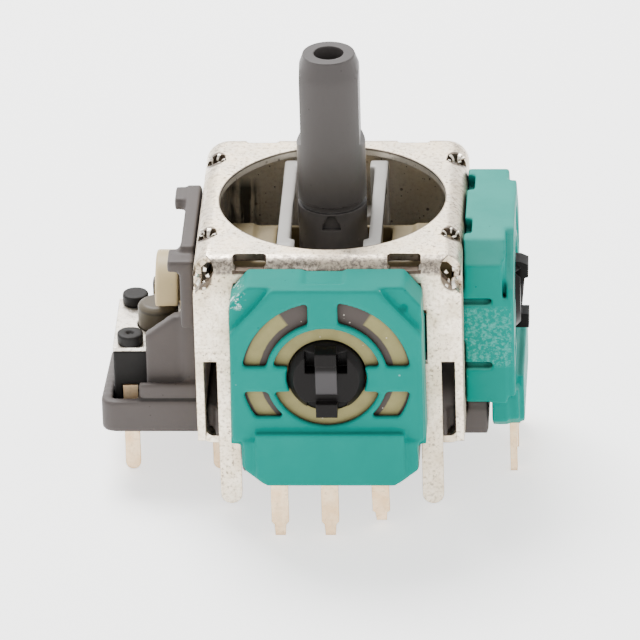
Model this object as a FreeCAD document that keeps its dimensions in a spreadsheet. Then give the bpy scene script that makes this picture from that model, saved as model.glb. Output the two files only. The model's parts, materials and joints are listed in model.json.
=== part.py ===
import FreeCAD, Part
import os
import Sketcher

# Two-axis thumb stick with a push switch, for soldering to a board. Millimetres, +Z up.
# The origin is on the board's surface, under the axis of the lever.

doc = FreeCAD.newDocument("thumb_stick")
sheet = doc.addObject("Spreadsheet::Sheet", "Sizes")

SIZES = [
    ("pivot_height", 6.0, "height of both tilt axes over the board"),
    ("frame_height", 11.2, "top of the metal frame over the board"),
    ("frame_width", 13.3, "frame, left to right"),
    ("frame_depth", 14.0, "frame, front to back"),
    ("sheet_gauge", 0.4, "thickness of the frame's sheet"),
    ("bend_radius", 0.9, "outer radius of the frame's bends"),
    ("corner_radius", 1.2, "frame's rear corners, seen from above"),
    ("opening_radius", 5.67, "round opening for the lever"),
    ("wall_foot", 1.15, "lower edge of the frame's walls"),
    ("leg_width", 1.07, "soldering leg"),
    ("leg_inset", 1.6, "middle of a leg, in from the frame's side"),
    ("leg_drop", 2.4, "leg below the board's surface"),
    ("leg_shoulder", 5.6, "height where a front strip narrows to its leg"),
    ("strip_inner", 4.65, "inner edge of the corner strips"),
    ("hook_reach", 4.9, "outer end of the windows for the housings' hooks"),
    ("panel_half", 3.9, "half width of the middle panel of a wall"),
    ("slot_inner", 3.0, "inner end of a slot in the bend"),
    ("slot_outer", 4.65, "outer end of a slot in the bend"),
    ("pierce_radius", 0.5, "small holes over the side bends"),
    ("pierce_reach", 4.1, "small holes, front to back from the axis"),
    ("shaft_radius", 1.3, "yoke journals"),
    ("running_gap", 0.06, "clearance round a journal"),
    ("seat_gap", 0.03, "clearance between parts that seat"),
    ("lever_radius", 1.72, "round shaft of the lever"),
    ("lever_flat", 2.95, "width across the lever's two flats"),
    ("lever_top", 19.25, "top of the lever over the board"),
    ("lever_flat_foot", 14.6, "height where the flats begin"),
    ("lever_taper", 1.15, "height of the cone at the lever's top"),
    ("lever_tip_radius", 1.3, "radius at the lever's top"),
    ("lever_bore_radius", 0.75, "blind hole in the lever's top"),
    ("lever_bore_depth", 2.5, "depth of the blind hole"),
    ("foot_shoulder", 1.35, "top of the lever's rounded end, below the pivot"),
    ("foot_radius", 2.2, "ball foot of the lever, about the pivot"),
    ("slot_half", 1.96, "half width of the upper yoke's slot"),
    ("rail_gauge", 0.65, "thickness of an upper yoke rail"),
    ("rail_rise", 4.95, "top of the rails over the pivot"),
    ("rail_underside", 4.4, "arch under the rails, over the pivot"),
    ("rail_reach", 5.3, "half length of the rails"),
    ("arch_half", 3.6, "half width of the arch"),
    ("bar_half", 2.5, "half depth of the lower yoke's middle"),
    ("bar_rise", 2.65, "top of the lower yoke's middle over the pivot"),
    ("bar_drop", 1.25, "underside of the lower yoke's middle below the pivot"),
    ("tower_inner", 4.1, "inner face of the lower yoke's raised ends"),
    ("tower_rise", 2.8, "top of the raised ends over the pivot"),
    ("lug_radius", 2.05, "half-round lug over the push button"),
    ("lug_near", 1.1, "inner face of the lug, out from the frame's left side"),
    ("lug_far", 2.3, "outer face of the lug, out from the frame's left side"),
    ("lug_nose", 0.6, "round nose under the lug, about the pivot"),
    ("pot_half", 4.75, "half width of a sensor housing"),
    ("pot_rise", 4.87, "top of a sensor housing over the pivot"),
    ("pot_drop", 5.85, "bottom of a sensor housing below the pivot"),
    ("pot_depth", 2.1, "sensor housing out from the frame's wall"),
    ("pot_face", 2.5, "middle of the housing's face, out from the wall"),
    ("pot_block", 2.9, "terminal block's face, out from the wall"),
    ("pot_chamfer", 0.9, "upper corners of a sensor housing"),
    ("pot_hang", 1.3, "rear of the housing's lower block, out from the wall"),
    ("pot_sill", 3.85, "underside of the housing behind its lower block, below the pivot"),
    ("hook_low", -0.4, "lower edge of a housing's hooks, over the pivot"),
    ("hook_high", 2.4, "upper edge of a housing's hooks, over the pivot"),
    ("ring_inner", 2.72, "ring between the inner and outer windows"),
    ("ring_outer", 3.04, "outer radius of that ring"),
    ("window_radius", 4.2, "outer radius of the outer windows"),
    ("wafer_radius", 4.45, "resistive wafer"),
    ("wafer_front", 2.15, "face of the resistive wafer, out from the wall"),
    ("wafer_gauge", 0.5, "thickness of the wafer"),
    ("rotor_radius", 1.92, "rotor's disc"),
    ("rotor_edge", 2.35, "rotor's rim, out from the wall"),
    ("rotor_face", 2.72, "rotor's face, out from the wall"),
    ("rotor_hook", 3.1, "rotor's blocks, out from the wall"),
    ("terminal_pitch", 2.5, "terminal to terminal"),
    ("terminal_width", 0.87, "width of a sensor terminal"),
    ("terminal_gauge", 0.35, "thickness of a terminal"),
    ("terminal_reach", 2.3, "terminals out from the frame's wall"),
    ("terminal_drop", 2.85, "terminals below the board's surface"),
    ("tray_reach", 5.05, "tray's end, out from the frame's left side"),
    ("tray_half", 4.1, "half depth of the tray and the base's foot"),
    ("tray_lift", 0.05, "underside of the tray over the board"),
    ("tray_rim", 1.75, "tray's rim over the board"),
    ("tray_wall", 0.55, "tray's wall"),
    ("tray_floor", 0.5, "tray's floor"),
    ("foot_reach", 1.1, "base's foot, out from the frame's wall"),
    ("floor_drop", 3.25, "top of the base's floor plate, below the pivot"),
    ("foot_drop", 4.25, "top of the base's feet under the sensors, below the pivot"),
    ("foot_left", 5.3, "left end of the foot, left of the axis"),
    ("guard_top", 10.2, "top of the base's left wall"),
    ("guard_half", 3.45, "half length of the base's left wall"),
    ("guard_gauge", 0.75, "thickness of the base's left wall"),
    ("switch_far", 4.45, "push switch, outer face, out from the frame's left side"),
    ("switch_near", 0.15, "push switch, inner face, out from the frame's left side"),
    ("switch_half", 2.65, "half depth of the push switch"),
    ("cover_top", 4.1, "top of the switch's cover"),
    ("cover_gauge", 0.2, "thickness of the switch's cover"),
    ("pin_outer", 1.33, "outer pins of the switch, left of the button"),
    ("pin_inner", 3.1, "inner pins of the switch, right of the button"),
    ("rivet_radius", 0.66, "heads of the switch's rivets"),
    ("rivet_rise", 0.56, "height of the heads"),
    ("rivet_reach", 2.15, "rivets front and back of the middle"),
    ("button_reach", 2.3, "push button, out from the frame's left side"),
    ("button_radius", 1.02, "push button"),
    ("button_gap", 0.04, "lug's nose to the button"),
    ("spring_radius", 2.0, "return spring, to the middle of its wire"),
    ("spring_wire", 0.32, "return spring's wire"),
    ("spring_turns", 3.0, "return spring's turns"),
]

for row, (name, value, note) in enumerate(SIZES, start=1):
    sheet.set("A%d" % row, name)
    sheet.set("B%d" % row, str(value))
    sheet.set("C%d" % row, note)
    sheet.setAlias("B%d" % row, name)
doc.recompute()


def size(name):
    return float(sheet.get(name))


def ref(text):
    """An expression in the sheet's names: every alias gets the sheet's name in front."""
    out, word = "", ""
    for sign in text + " ":
        if sign.isalnum() or sign == "_":
            word += sign
            continue
        out += "Sizes." + word if word in NAMES else word
        out += sign
        word = ""
    return out.strip()


NAMES = {name for name, value, note in SIZES}


def bind(item, **fields):
    """Tie an object's sizes to the sheet, one expression for each."""
    for field, text in fields.items():
        item.setExpression(field, ref(str(text)))
    return item


def place(item, x, y, z):
    item.setExpression("Placement.Base.x", ref(str(x)))
    item.setExpression("Placement.Base.y", ref(str(y)))
    item.setExpression("Placement.Base.z", ref(str(z)))
    return item


def block(name, x, y, z):
    """A box from three pairs of expressions: low and high along each axis."""
    item = doc.addObject("Part::Box", name)
    bind(item, Length="(%s) - (%s)" % (x[1], x[0]))
    bind(item, Width="(%s) - (%s)" % (y[1], y[0]))
    bind(item, Height="(%s) - (%s)" % (z[1], z[0]))
    return place(item, x[0], y[0], z[0])


TURNS = {"x": FreeCAD.Rotation(FreeCAD.Vector(0, 1, 0), 90),
         "y": FreeCAD.Rotation(FreeCAD.Vector(1, 0, 0), -90),
         "z": FreeCAD.Rotation()}


def rod(name, axis, radius, x, y, z, length):
    """A cylinder that starts at x, y, z and runs towards plus along its axis."""
    item = doc.addObject("Part::Cylinder", name)
    bind(item, Radius=radius, Height=length)
    item.Placement = FreeCAD.Placement(FreeCAD.Vector(), TURNS[axis])
    return place(item, x, y, z)


def cone(name, axis, low, high, x, y, z, length):
    item = doc.addObject("Part::Cone", name)
    bind(item, Radius1=low, Radius2=high, Height=length)
    item.Placement = FreeCAD.Placement(FreeCAD.Vector(), TURNS[axis])
    return place(item, x, y, z)


def ball(name, radius, x, y, z):
    item = doc.addObject("Part::Sphere", name)
    bind(item, Radius=radius)
    return place(item, x, y, z)


def fuse(name, items):
    item = doc.addObject("Part::MultiFuse", name)
    item.Shapes = items
    item.Refine = True
    return item


def common(name, items):
    item = doc.addObject("Part::MultiCommon", name)
    item.Shapes = items
    return item


def cut(name, base, tools):
    item = doc.addObject("Part::Cut", name)
    item.Base = base
    item.Tool = tools[0] if len(tools) == 1 else fuse(name + "_tools", tools)
    item.Refine = True
    return item


def prism(name, plane, points, start, depth):
    """A straight-sided profile, sketched on an origin plane and padded.

    Points are pairs of expressions. The pad starts at start and runs towards plus by depth.
    """
    body = doc.addObject("PartDesign::Body", name)
    plane_item = [f for f in body.Origin.OriginFeatures if f.Role == plane][0]
    sketch = body.newObject("Sketcher::SketchObject", name + "_sketch")
    sketch.AttachmentSupport = [(plane_item, "")]
    sketch.MapMode = "FlatFace"
    doc.recompute()
    values = [(sheet_value(a), sheet_value(b)) for a, b in points]
    for i, (a, b) in enumerate(values):
        c, d = values[(i + 1) % len(values)]
        sketch.addGeometry(Part.LineSegment(FreeCAD.Vector(a, b, 0), FreeCAD.Vector(c, d, 0)), False)
    for i in range(len(points)):
        sketch.addConstraint(Sketcher.Constraint("Coincident", i, 2, (i + 1) % len(points), 1))
    for i, (a, b) in enumerate(points):
        for kind, text, value in (("DistanceX", a, values[i][0]), ("DistanceY", b, values[i][1])):
            index = sketch.addConstraint(Sketcher.Constraint(kind, -1, 1, i, 1, value))
            sketch.setExpression("Constraints[%d]" % index, ref(str(text)))
    pad = body.newObject("PartDesign::Pad", name + "_pad")
    pad.Profile = sketch
    bind(pad, Length=depth)
    # a sketch on the XZ plane pads towards minus Y, so it starts at the far side
    if plane == "XY_Plane":
        body.setExpression("Placement.Base.z", ref(str(start)))
    if plane == "YZ_Plane":
        body.setExpression("Placement.Base.x", ref(str(start)))
    if plane == "XZ_Plane":
        body.setExpression("Placement.Base.y", ref("(%s) + (%s)" % (start, depth)))
    return body


def sheet_value(text):
    """The value of an expression, worked out with the sheet's numbers."""
    probe = doc.getObject("Probe")
    if probe is None:
        probe = doc.addObject("App::FeaturePython", "Probe")
        probe.addProperty("App::PropertyFloat", "Value")
    probe.setExpression("Value", ref(str(text)))
    probe.recompute()
    return probe.Value


def finish(item, label):
    """Make this object a sub-part: its label names its file."""
    item.Label = label
    PARTS.append(item)
    return item


PARTS = []


# Metal frame: one folded sheet with a round opening, four walls, four legs and clinched tabs
def rounded_box(name, inset):
    """The frame's outer form with round bends, or the space inside it with sloped ones."""
    box = block(name, ("-frame_width/2 + " + inset, "frame_width/2 - " + inset),
                ("-frame_depth/2 + " + inset, "frame_depth/2 - " + inset),
                ("wall_foot - 2*(%s)" % inset, "frame_height - " + inset))
    doc.recompute()
    outside = inset == "0"
    bend = size("bend_radius") if outside else 0.3
    corner = size("corner_radius") if outside else 0.47
    rounds = []
    for index, edge in enumerate(box.Shape.Edges, start=1):
        middle = edge.CenterOfMass
        if abs(middle.z - box.Shape.BoundBox.ZMax) < 0.001:
            rounds.append((index, bend, bend))
        elif middle.y > 0 and abs(middle.x) > 1 and middle.z > box.Shape.BoundBox.ZMin + 0.1:
            rounds.append((index, corner, corner))
    item = doc.addObject("Part::Fillet" if outside else "Part::Chamfer", name + "_bent")
    item.Base = box
    item.Edges = rounds
    return item


def cut_corners(name, box, end, width):
    """A box with its lower and its inner upright edges sloped, for a slot with eased corners."""
    doc.recompute()
    bounds = box.Shape.BoundBox
    inner = bounds.YMin if end > 0 else bounds.YMax
    slopes = []
    for index, edge in enumerate(box.Shape.Edges, start=1):
        middle = edge.CenterOfMass
        upright = abs(middle.z - bounds.Center.z) < 0.001
        along = abs(middle.y - bounds.Center.y) < 0.001
        if (upright and abs(middle.y - inner) < 0.001) or (along and middle.z < bounds.Center.z - 0.1
                                                          and abs(middle.x - bounds.Center.x) > 0.1):
            slopes.append((index, width, width))
    item = doc.addObject("Part::Chamfer", name)
    item.Base = box
    item.Edges = slopes
    return item


def metal_frame():
    shell = cut("frame_shell", rounded_box("frame_outside", "0"), [rounded_box("frame_inside", "sheet_gauge")])
    holes = [rod("lever_opening", "z", "opening_radius", 0, 0, "frame_height - 1", 2)]
    far = "frame_depth/2 + 1"
    near = "frame_depth/2 - bend_radius"
    for side in (-1, 1):
        for end in (-1, 1):
            tag = "%s_%s" % ("left" if side < 0 else "right", "front" if end < 0 else "rear")
            low_x, high_x = ("slot_inner", "slot_outer") if side > 0 else ("-slot_outer", "-slot_inner")
            low_y, high_y = (near, far) if end > 0 else ("-(%s)" % far, "-(%s)" % near)
            slot_box = block("bend_slot_box_" + tag, (low_x, high_x), (low_y, high_y),
                             ("frame_height - 0.55", "frame_height + 1"))
            holes.append(cut_corners("bend_slot_" + tag, slot_box, end, 0.14))
            middle = "%d*(frame_width/2 - 0.6)" % side
            reach = "%d*pierce_reach + 0.3" % end
            holes.append(prism("pierced_" + tag, "XY_Plane",
                               [(middle + " + (%s)*pierce_radius" % (side * a), reach + " + (%s)*pierce_radius" % b)
                                for a, b in ((-1, -0.5), (-0.5, -1), (0.6, -0.9), (1, -0.2), (0.9, 0.6), (0, 1), (-0.8, 0.7))],
                               "frame_height - 0.8", 2))
            low_x, high_x = ("panel_half", "strip_inner") if side > 0 else ("-strip_inner", "-panel_half")
            holes.append(block("wall_gap_" + tag, (low_x, high_x), (low_y, high_y),
                               ("-1", "frame_height - bend_radius - 0.3" if end < 0 else "leg_shoulder")))
            low_x, high_x = ("(frame_width/2 - leg_inset) + leg_width/2", "frame_width/2 - sheet_gauge")
            if side < 0:
                low_x, high_x = "-(%s)" % high_x, "-(%s)" % low_x
            holes.append(block("strip_gap_" + tag, (low_x, high_x), (low_y, high_y), ("-1", "leg_shoulder")))
    for side in (-1, 1):
        tag = "left" if side < 0 else "right"
        edge = "%d*(frame_width/2)" % side
        holes.append(rod("relief_" + tag, "y", 0.5, "%d*(frame_width/2 - 0.55)" % side,
                         "-frame_depth/2 - 1", "frame_height - 0.52", 1.75))
        holes.append(prism("relief_tail_" + tag, "XZ_Plane",
                           [("%d*(frame_width/2 - 0.9)" % side, "frame_height - 0.87"),
                            ("%d*(frame_width/2 - 0.1)" % side, "frame_height - 1.75"),
                            ("%d*(frame_width/2 + 0.2)" % side, "frame_height - 1.75"),
                            ("%d*(frame_width/2 + 0.2)" % side, "frame_height - 0.75")],
                           "-frame_depth/2 - 1", 1.9))
        low_x, high_x = ("frame_width/2 - sheet_gauge - 0.1", "frame_width/2 + 1")
        if side < 0:
            low_x, high_x = "-(%s)" % high_x, "-(%s)" % low_x
        holes.append(block("seam_" + tag, (low_x, high_x), ("-frame_depth/2 + sheet_gauge", "-frame_depth/2 + sheet_gauge + 0.06"),
                           ("-1", "frame_height - 1.6")))
    # journals: round holes front, rear and right, and an open slot on the left
    for name, axis, x, y in (("front_hole", "y", "0", "-frame_depth/2 - 1"), ("rear_hole", "y", "0", "frame_depth/2 - 1")):
        radius = "shaft_radius + 0.6" if name == "front_hole" else "shaft_radius + running_gap"
        holes.append(rod(name, axis, radius, x, y, "pivot_height", 2))
    holes.append(rod("right_hole", "x", "shaft_radius + 0.6", "frame_width/2 - 1", "0", "pivot_height", 2))
    holes.append(rod("left_slot_top", "x", "shaft_radius + 0.5", "-frame_width/2 - 1", "0", "pivot_height", 2))
    holes.append(block("left_slot", ("-frame_width/2 - 1", "-frame_width/2 + 1"),
                       ("-shaft_radius - 0.5", "shaft_radius + 0.5"), ("-1", "pivot_height")))
    # windows for the hooks of the two sensor housings
    window_height = ("pivot_height + hook_low - 0.1", "pivot_height + hook_high + 0.1")
    for end in (-1, 1):
        low, high = ("panel_half", "hook_reach") if end > 0 else ("-hook_reach", "-panel_half")
        holes.append(block("side_hook_window_%d" % (end + 1), ("frame_width/2 - 1", "frame_width/2 + 1"),
                           (low, high), window_height))
        holes.append(block("front_hook_window_%d" % (end + 1), (low, high),
                           ("-frame_depth/2 - 1", "-frame_depth/2 + 1"), window_height))
    holes.append(block("front_panel_foot", ("-panel_half - 0.1", "panel_half + 0.1"),
                       ("-frame_depth/2 - 1", "-frame_depth/2 + 1"), ("-1", "2.9")))
    holes.append(block("rear_panel_foot", ("-panel_half - 0.1", "panel_half + 0.1"),
                       ("frame_depth/2 - 1", "frame_depth/2 + 1"), ("-1", "2.9")))
    walls = cut("frame_walls", shell, holes)
    pieces = [walls]
    for side in (-1, 1):
        for end in (-1, 1):
            tag = "%s_%s" % ("left" if side < 0 else "right", "front" if end < 0 else "rear")
            centre = "%d*(frame_width/2 - leg_inset)" % side
            face = "-frame_depth/2" if end < 0 else "frame_depth/2 - sheet_gauge"
            pieces.append(block("leg_" + tag, (centre + " - leg_width/2", centre + " + leg_width/2"),
                                (face, face + " + sheet_gauge"),
                                ("-leg_drop + leg_width/2", "wall_foot + 0.2")))
            pieces.append(rod("leg_tip_" + tag, "y", "leg_width/2", centre, face, "-leg_drop + leg_width/2", "sheet_gauge"))
            # a tab from the side wall, bent in under the base
            low_y, high_y = ("-frame_depth/2 + 0.55", "-frame_depth/2 + 1.75")
            if end > 0:
                low_y, high_y = "-(%s)" % high_y, "-(%s)" % low_y
            bend_x = "%d*(frame_width/2 - 0.75)" % side
            ring = cut("tab_ring_" + tag, rod("tab_out_" + tag, "y", 0.75, bend_x, low_y, "wall_foot + 0.35", 1.2),
                       [rod("tab_in_" + tag, "y", "0.75 - sheet_gauge", bend_x, low_y, "wall_foot + 0.35", 1.2)])
            reach = (bend_x, bend_x + " + 1") if side > 0 else (bend_x + " - 1", bend_x)
            pieces.append(common("tab_bend_" + tag, [ring, block("tab_quarter_" + tag, reach, (low_y, high_y),
                                                                  ("-1", "wall_foot + 0.35"))]))
            flat = (bend_x + " - 0.45", bend_x) if side > 0 else (bend_x, bend_x + " + 0.45")
            pieces.append(block("tab_flat_" + tag, flat, (low_y, high_y),
                                ("wall_foot - 0.4", "wall_foot - 0.4 + sheet_gauge")))
    finish(fuse("frame", pieces), "metal_frame")


# Moulded base: floor plate, foot, tray for the push switch and the guard wall on the left
def moulded_base():
    inner = "frame_width/2 - sheet_gauge - seat_gap"
    depth = "frame_depth/2 - sheet_gauge - seat_gap"
    solids = [block("floor_plate", ("-(%s)" % inner, inner), ("-(%s)" % depth, depth), ("wall_foot + seat_gap", "pivot_height - floor_drop")),
              block("foot", ("-foot_left", "frame_width/2 + foot_reach"), ("-tray_half", "tray_half"),
                    ("0", "wall_foot + 0.2")),
              block("foot_side", ("-frame_width/2", "-foot_left + 0.1"), ("-tray_half", "tray_half"),
                    ("tray_lift", "wall_foot + 0.2")),
              block("right_rim", (inner, "frame_width/2 + foot_reach"), ("-tray_half + 0.15", "tray_half - 0.15"),
                    ("0", "pivot_height - foot_drop")),
              block("front_foot", ("-(frame_width/2 - leg_inset) + leg_width/2 + 0.1", "(frame_width/2 - leg_inset) - leg_width/2 - 0.1"),
                    ("-frame_depth/2 - foot_reach", "0"), ("0", "pivot_height - foot_drop"))]
    tray = doc.addObject("Part::Fillet", "tray_rounded")
    tray_box = block("tray", ("-(frame_width/2 + tray_reach)", "-frame_width/2 + 0.02"), ("-tray_half", "tray_half"), ("tray_lift", "tray_rim"))
    doc.recompute()
    tray.Base = tray_box
    rounds = []
    for index, edge in enumerate(tray_box.Shape.Edges, start=1):
        middle = edge.CenterOfMass
        if middle.x < -size("frame_width") / 2 - size("tray_reach") + 0.01 and abs(middle.z - tray_box.Shape.CenterOfMass.z) < 0.01:
            rounds.append((index, 0.7, 0.7))
    tray.Edges = rounds
    solids.append(tray)
    guard = "frame_width/2 + 0.08"
    solids.append(block("guard", ("-(%s) - guard_gauge" % guard, "-(%s)" % guard), ("-guard_half", "guard_half"),
                        ("tray_rim - 0.5", "guard_top")))
    for end in (-1, 1):
        tag = "front" if end < 0 else "rear"
        low, high = ("-guard_half - 1.1", "-guard_half + 0.45") if end < 0 else ("guard_half - 1.5", "guard_half")
        top = "guard_top - 0.3" if end < 0 else "guard_top - 0.1"
        if end < 0:
            solids.append(block("guard_post", ("-(%s) - guard_gauge" % guard, "-(%s)" % guard),
                                ("-guard_half - 1.1", "-guard_half + 0.1"), ("pivot_height + 0.15", top)))
        solids.append(block("guard_tab_" + tag, ("-(%s) - guard_gauge - 0.6" % guard, "-(%s) - guard_gauge + 0.1" % guard),
                            (low, high), (top + " - 0.62", top)))
        start = "-guard_half + 0.12" if end < 0 else "guard_half - 0.82"
        solids.append(prism("shoulder_" + tag, "XZ_Plane",
                            [("-frame_width/2 - 0.08", "tray_floor"), ("-frame_width/2 - 0.08", "pivot_height + 0.15"),
                             ("-frame_width/2 - 1.3", "pivot_height + 0.15"), ("-frame_width/2 - 2.75", "pivot_height - 0.95"),
                             ("-frame_width/2 - 2.75", "tray_floor")], start, 0.7))
        low, high = ("-tray_half + 0.1", "-tray_half + 0.5") if end < 0 else ("tray_half - 0.5", "tray_half - 0.1")
        solids.append(block("ledge_" + tag, ("-frame_width/2 - 3.1", "-frame_width/2 - 0.08"), (low, high),
                            ("tray_rim + 0.25", "tray_rim + 0.95")))
        if end > 0:
            solids.append(block("ledge_web", ("-frame_width/2 - 2.7", "-frame_width/2 - 0.08"), (start, "tray_half - 0.2"),
                                ("tray_rim - 0.5", "tray_rim + 0.7")))
        else:
            solids.append(block("ledge_web_front", ("-frame_width/2 - 2.7", "-frame_width/2 - 0.08"),
                                ("-tray_half + 0.2", "-guard_half + 0.7"), ("tray_rim + 0.3", "tray_rim + 0.7")))

    body = fuse("base_body", solids)
    holes = [block("switch_bay", ("-(frame_width/2 + tray_reach) + tray_wall", "-frame_width/2 - 0.1"), ("-switch_half - 0.08", "switch_half + 0.08"),
                   ("tray_floor", "cover_top + 0.05"))]
    holes.append(block("yoke_window", ("-frame_width/2 - 2", "-frame_width/2 + 0.4"), ("-shaft_radius - 0.5", "shaft_radius + 0.5"),
                       ("cover_top - 0.5", "pivot_height")))
    holes.append(rod("yoke_window_top", "x", "shaft_radius + 0.5", "-frame_width/2 - 2", "0", "pivot_height", 2.4))
    holes.append(block("tray_well", ("-(frame_width/2 + tray_reach) + tray_wall", "-frame_width/2 - 3.2"), ("-tray_half + tray_wall", "tray_half - tray_wall"),
                       ("tray_floor", "tray_rim + 1")))
    holes.append(prism("rim_slope", "YZ_Plane",
                       [("-tray_half + 0.9", "tray_rim + 0.1"), ("-tray_half + 0.9", "tray_rim - 0.02"),
                        ("tray_half + 0.1", "tray_floor"), ("tray_half + 0.1", "tray_rim + 0.1")],
                       "-(frame_width/2 + tray_reach) - 0.1", "tray_reach - switch_far + 0.12"))
    holes.append(rod("spring_well", "z", "spring_radius + spring_wire/2 + 0.25", 0, 0, "tray_floor + 0.5", 3))
    holes.append(rod("guide_hole", "z", "0.8 + running_gap", 0, 0, "0.45", 4))
    # room for the frame's side walls
    holes.append(block("left_wall_slot", ("-frame_width/2 - 0.03", "-frame_width/2 + sheet_gauge + 0.02"),
                       ("-tray_half - 1", "tray_half + 1"), ("wall_foot - 0.05", "pivot_height - floor_drop + 8")))
    holes.append(block("right_wall_slot", ("frame_width/2 - sheet_gauge - 0.02", "frame_width/2 + 0.03"),
                       ("-tray_half - 1", "tray_half + 1"), ("wall_foot - 0.05", "pivot_height - floor_drop + 8")))
    for side in (-1, 1):
        for end in (-1, 1):
            tag = "%s_%s" % ("left" if side < 0 else "right", "front" if end < 0 else "rear")
            low_x, high_x = ("frame_width/2 - 0.85", "frame_width/2") if side > 0 else ("-frame_width/2", "-frame_width/2 + 0.85")
            low_y, high_y = ("-frame_depth/2 + 0.4", "-frame_depth/2 + 1.85")
            if end > 0:
                low_y, high_y = "-(%s)" % high_y, "-(%s)" % low_y
            holes.append(block("tab_room_" + tag, (low_x, high_x), (low_y, high_y), ("0", "wall_foot + 0.36")))
            corner_y = ("-frame_depth/2", "-frame_depth/2 + 0.8") if end < 0 else ("frame_depth/2 - 0.8", "frame_depth/2")
            holes.append(block("corner_room_" + tag, (low_x, high_x), corner_y, ("0", "pivot_height - floor_drop + 1")))
            x = "-(frame_width/2 + button_reach) " + ("+ pin_inner" if side > 0 else "- pin_outer")
            y = "%d*(switch_half - 0.2)" % end
            holes.append(block("pin_hole_" + tag, (x + " - 0.42", x + " + 0.42"), (y + " - 0.19", y + " + 0.19"),
                               ("-1", "0.84" if side > 0 else "3")))
            if side > 0:
                holes.append(block("pin_channel_" + tag, ("-frame_width/2 - 1", x + " + 0.1"), (y + " - 0.19", y + " + 0.19"),
                                   ("0.4", "0.84")))
    finish(cut("base_shape", body, holes), "base")


# Sensor housing, drawn at the front: the frame's wall is at y = 0 and outward is minus Y
def pot_profile():
    """Corners of the housing, seen from the front, right half and then the left half mirrored."""
    right = [("pot_half - pot_chamfer", "pot_rise"), ("pot_half", "pot_rise - pot_chamfer - 0.2"),
             ("pot_half + 0.1", "-3.9"), ("pot_half - 0.4", "-3.95"), ("pot_half - 0.4", "-pot_drop + 0.65"),
             ("pot_half - 1.3", "-pot_drop")]
    left = [("-(%s)" % x, z) for x, z in reversed(right)]
    return right + left


def pot_housing(tag):
    body = prism("pot_body_" + tag, "XZ_Plane", pot_profile(), "-pot_depth", "pot_depth - seat_gap")
    # the face stands proud, with both upper corners left low
    middle = [("-2.6", "pot_rise"), ("2.6", "pot_rise"), ("pot_half", "pot_rise - 2.45"), ("pot_half", "-3.6"),
              ("-pot_half", "-3.6"), ("-pot_half", "pot_rise - 2.45")]
    face = prism("pot_face_" + tag, "XZ_Plane", middle, "-pot_face", "pot_face - pot_depth + 0.1")
    lower = prism("pot_lower_" + tag, "XZ_Plane",
                  [("-4.2", "-3.5"), ("4.45", "-3.5"), ("4.45", "-pot_drop + 0.75"), ("3.5", "-pot_drop"),
                   ("-3.3", "-pot_drop"), ("-4.2", "-pot_drop + 0.75")], "-pot_block + 0.25", "pot_block - 0.75")
    block_shape = prism("pot_block_" + tag, "XZ_Plane",
                        [("-3.6", "-2.95"), ("3.8", "-2.95"), ("3.8", "-pot_drop + 0.4"), ("3.3", "-pot_drop"),
                         ("-3.1", "-pot_drop"), ("-3.6", "-pot_drop + 0.4")], "-pot_block", "pot_block - 0.5")
    boss = rod("pot_boss_" + tag, "y", "shaft_radius + 0.6 - seat_gap", 0, "-0.1", 0, "0.1 + sheet_gauge")
    solids = [body, face, lower, block_shape, boss]
    for side in (-1, 1):
        name = "%s_%s" % (tag, "left" if side < 0 else "right")
        low, high = ("panel_half + 0.1", "hook_reach - 0.1")
        if side < 0:
            low, high = "-(%s)" % high, "-(%s)" % low
        solids.append(block("pot_hook_" + name, (low, high), ("-0.5", "sheet_gauge + 0.05"),
                            ("hook_low", "hook_high")))
        solids.append(hook_barb(name, side))
    whole = fuse("pot_solid_" + tag, solids)
    return cut("pot_" + tag, whole, pot_windows(tag) + pot_rooms(tag))


def pot_windows(tag):
    """Openings in the face: four outer arcs, two inner arcs and the rotor's bore."""
    depth = ("-5", "0")
    ring = cut("window_ring_" + tag,
               rod("window_out_" + tag, "y", "window_radius", 0, "-4", 0, "4 - wafer_front"),
               [rod("window_in_" + tag, "y", "ring_outer", 0, "-5", 0, 6)])
    frames = [block("window_top_right_" + tag, ("0.62", "6"), depth, ("0.6", "6")),
              block("window_top_left_" + tag, ("-6", "-0.86"), depth, ("0.6", "6")),
              block("window_low_right_" + tag, ("1", "6"), depth, ("-2.2", "-0.8")),
              block("window_low_left_" + tag, ("-6", "-1"), depth, ("-2.2", "-0.8"))]
    outer = common("window_outer_" + tag, [ring, fuse("window_frames_" + tag, frames)])
    centre = rod("window_centre_" + tag, "y", "ring_inner", 0, "-4", 0, "4 - wafer_front")
    inner = cut("window_inner_" + tag, centre, [block("window_bar_" + tag, ("-4", "4"), depth, ("-0.8", "0.6"))])
    return [outer, inner,
            rod("rotor_bore_" + tag, "y", "rotor_radius + running_gap", 0, "-5", 0, "4.28"),
            rod("journal_bore_" + tag, "y", "shaft_radius + running_gap", 0, "-1", 0, "3")]


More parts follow.
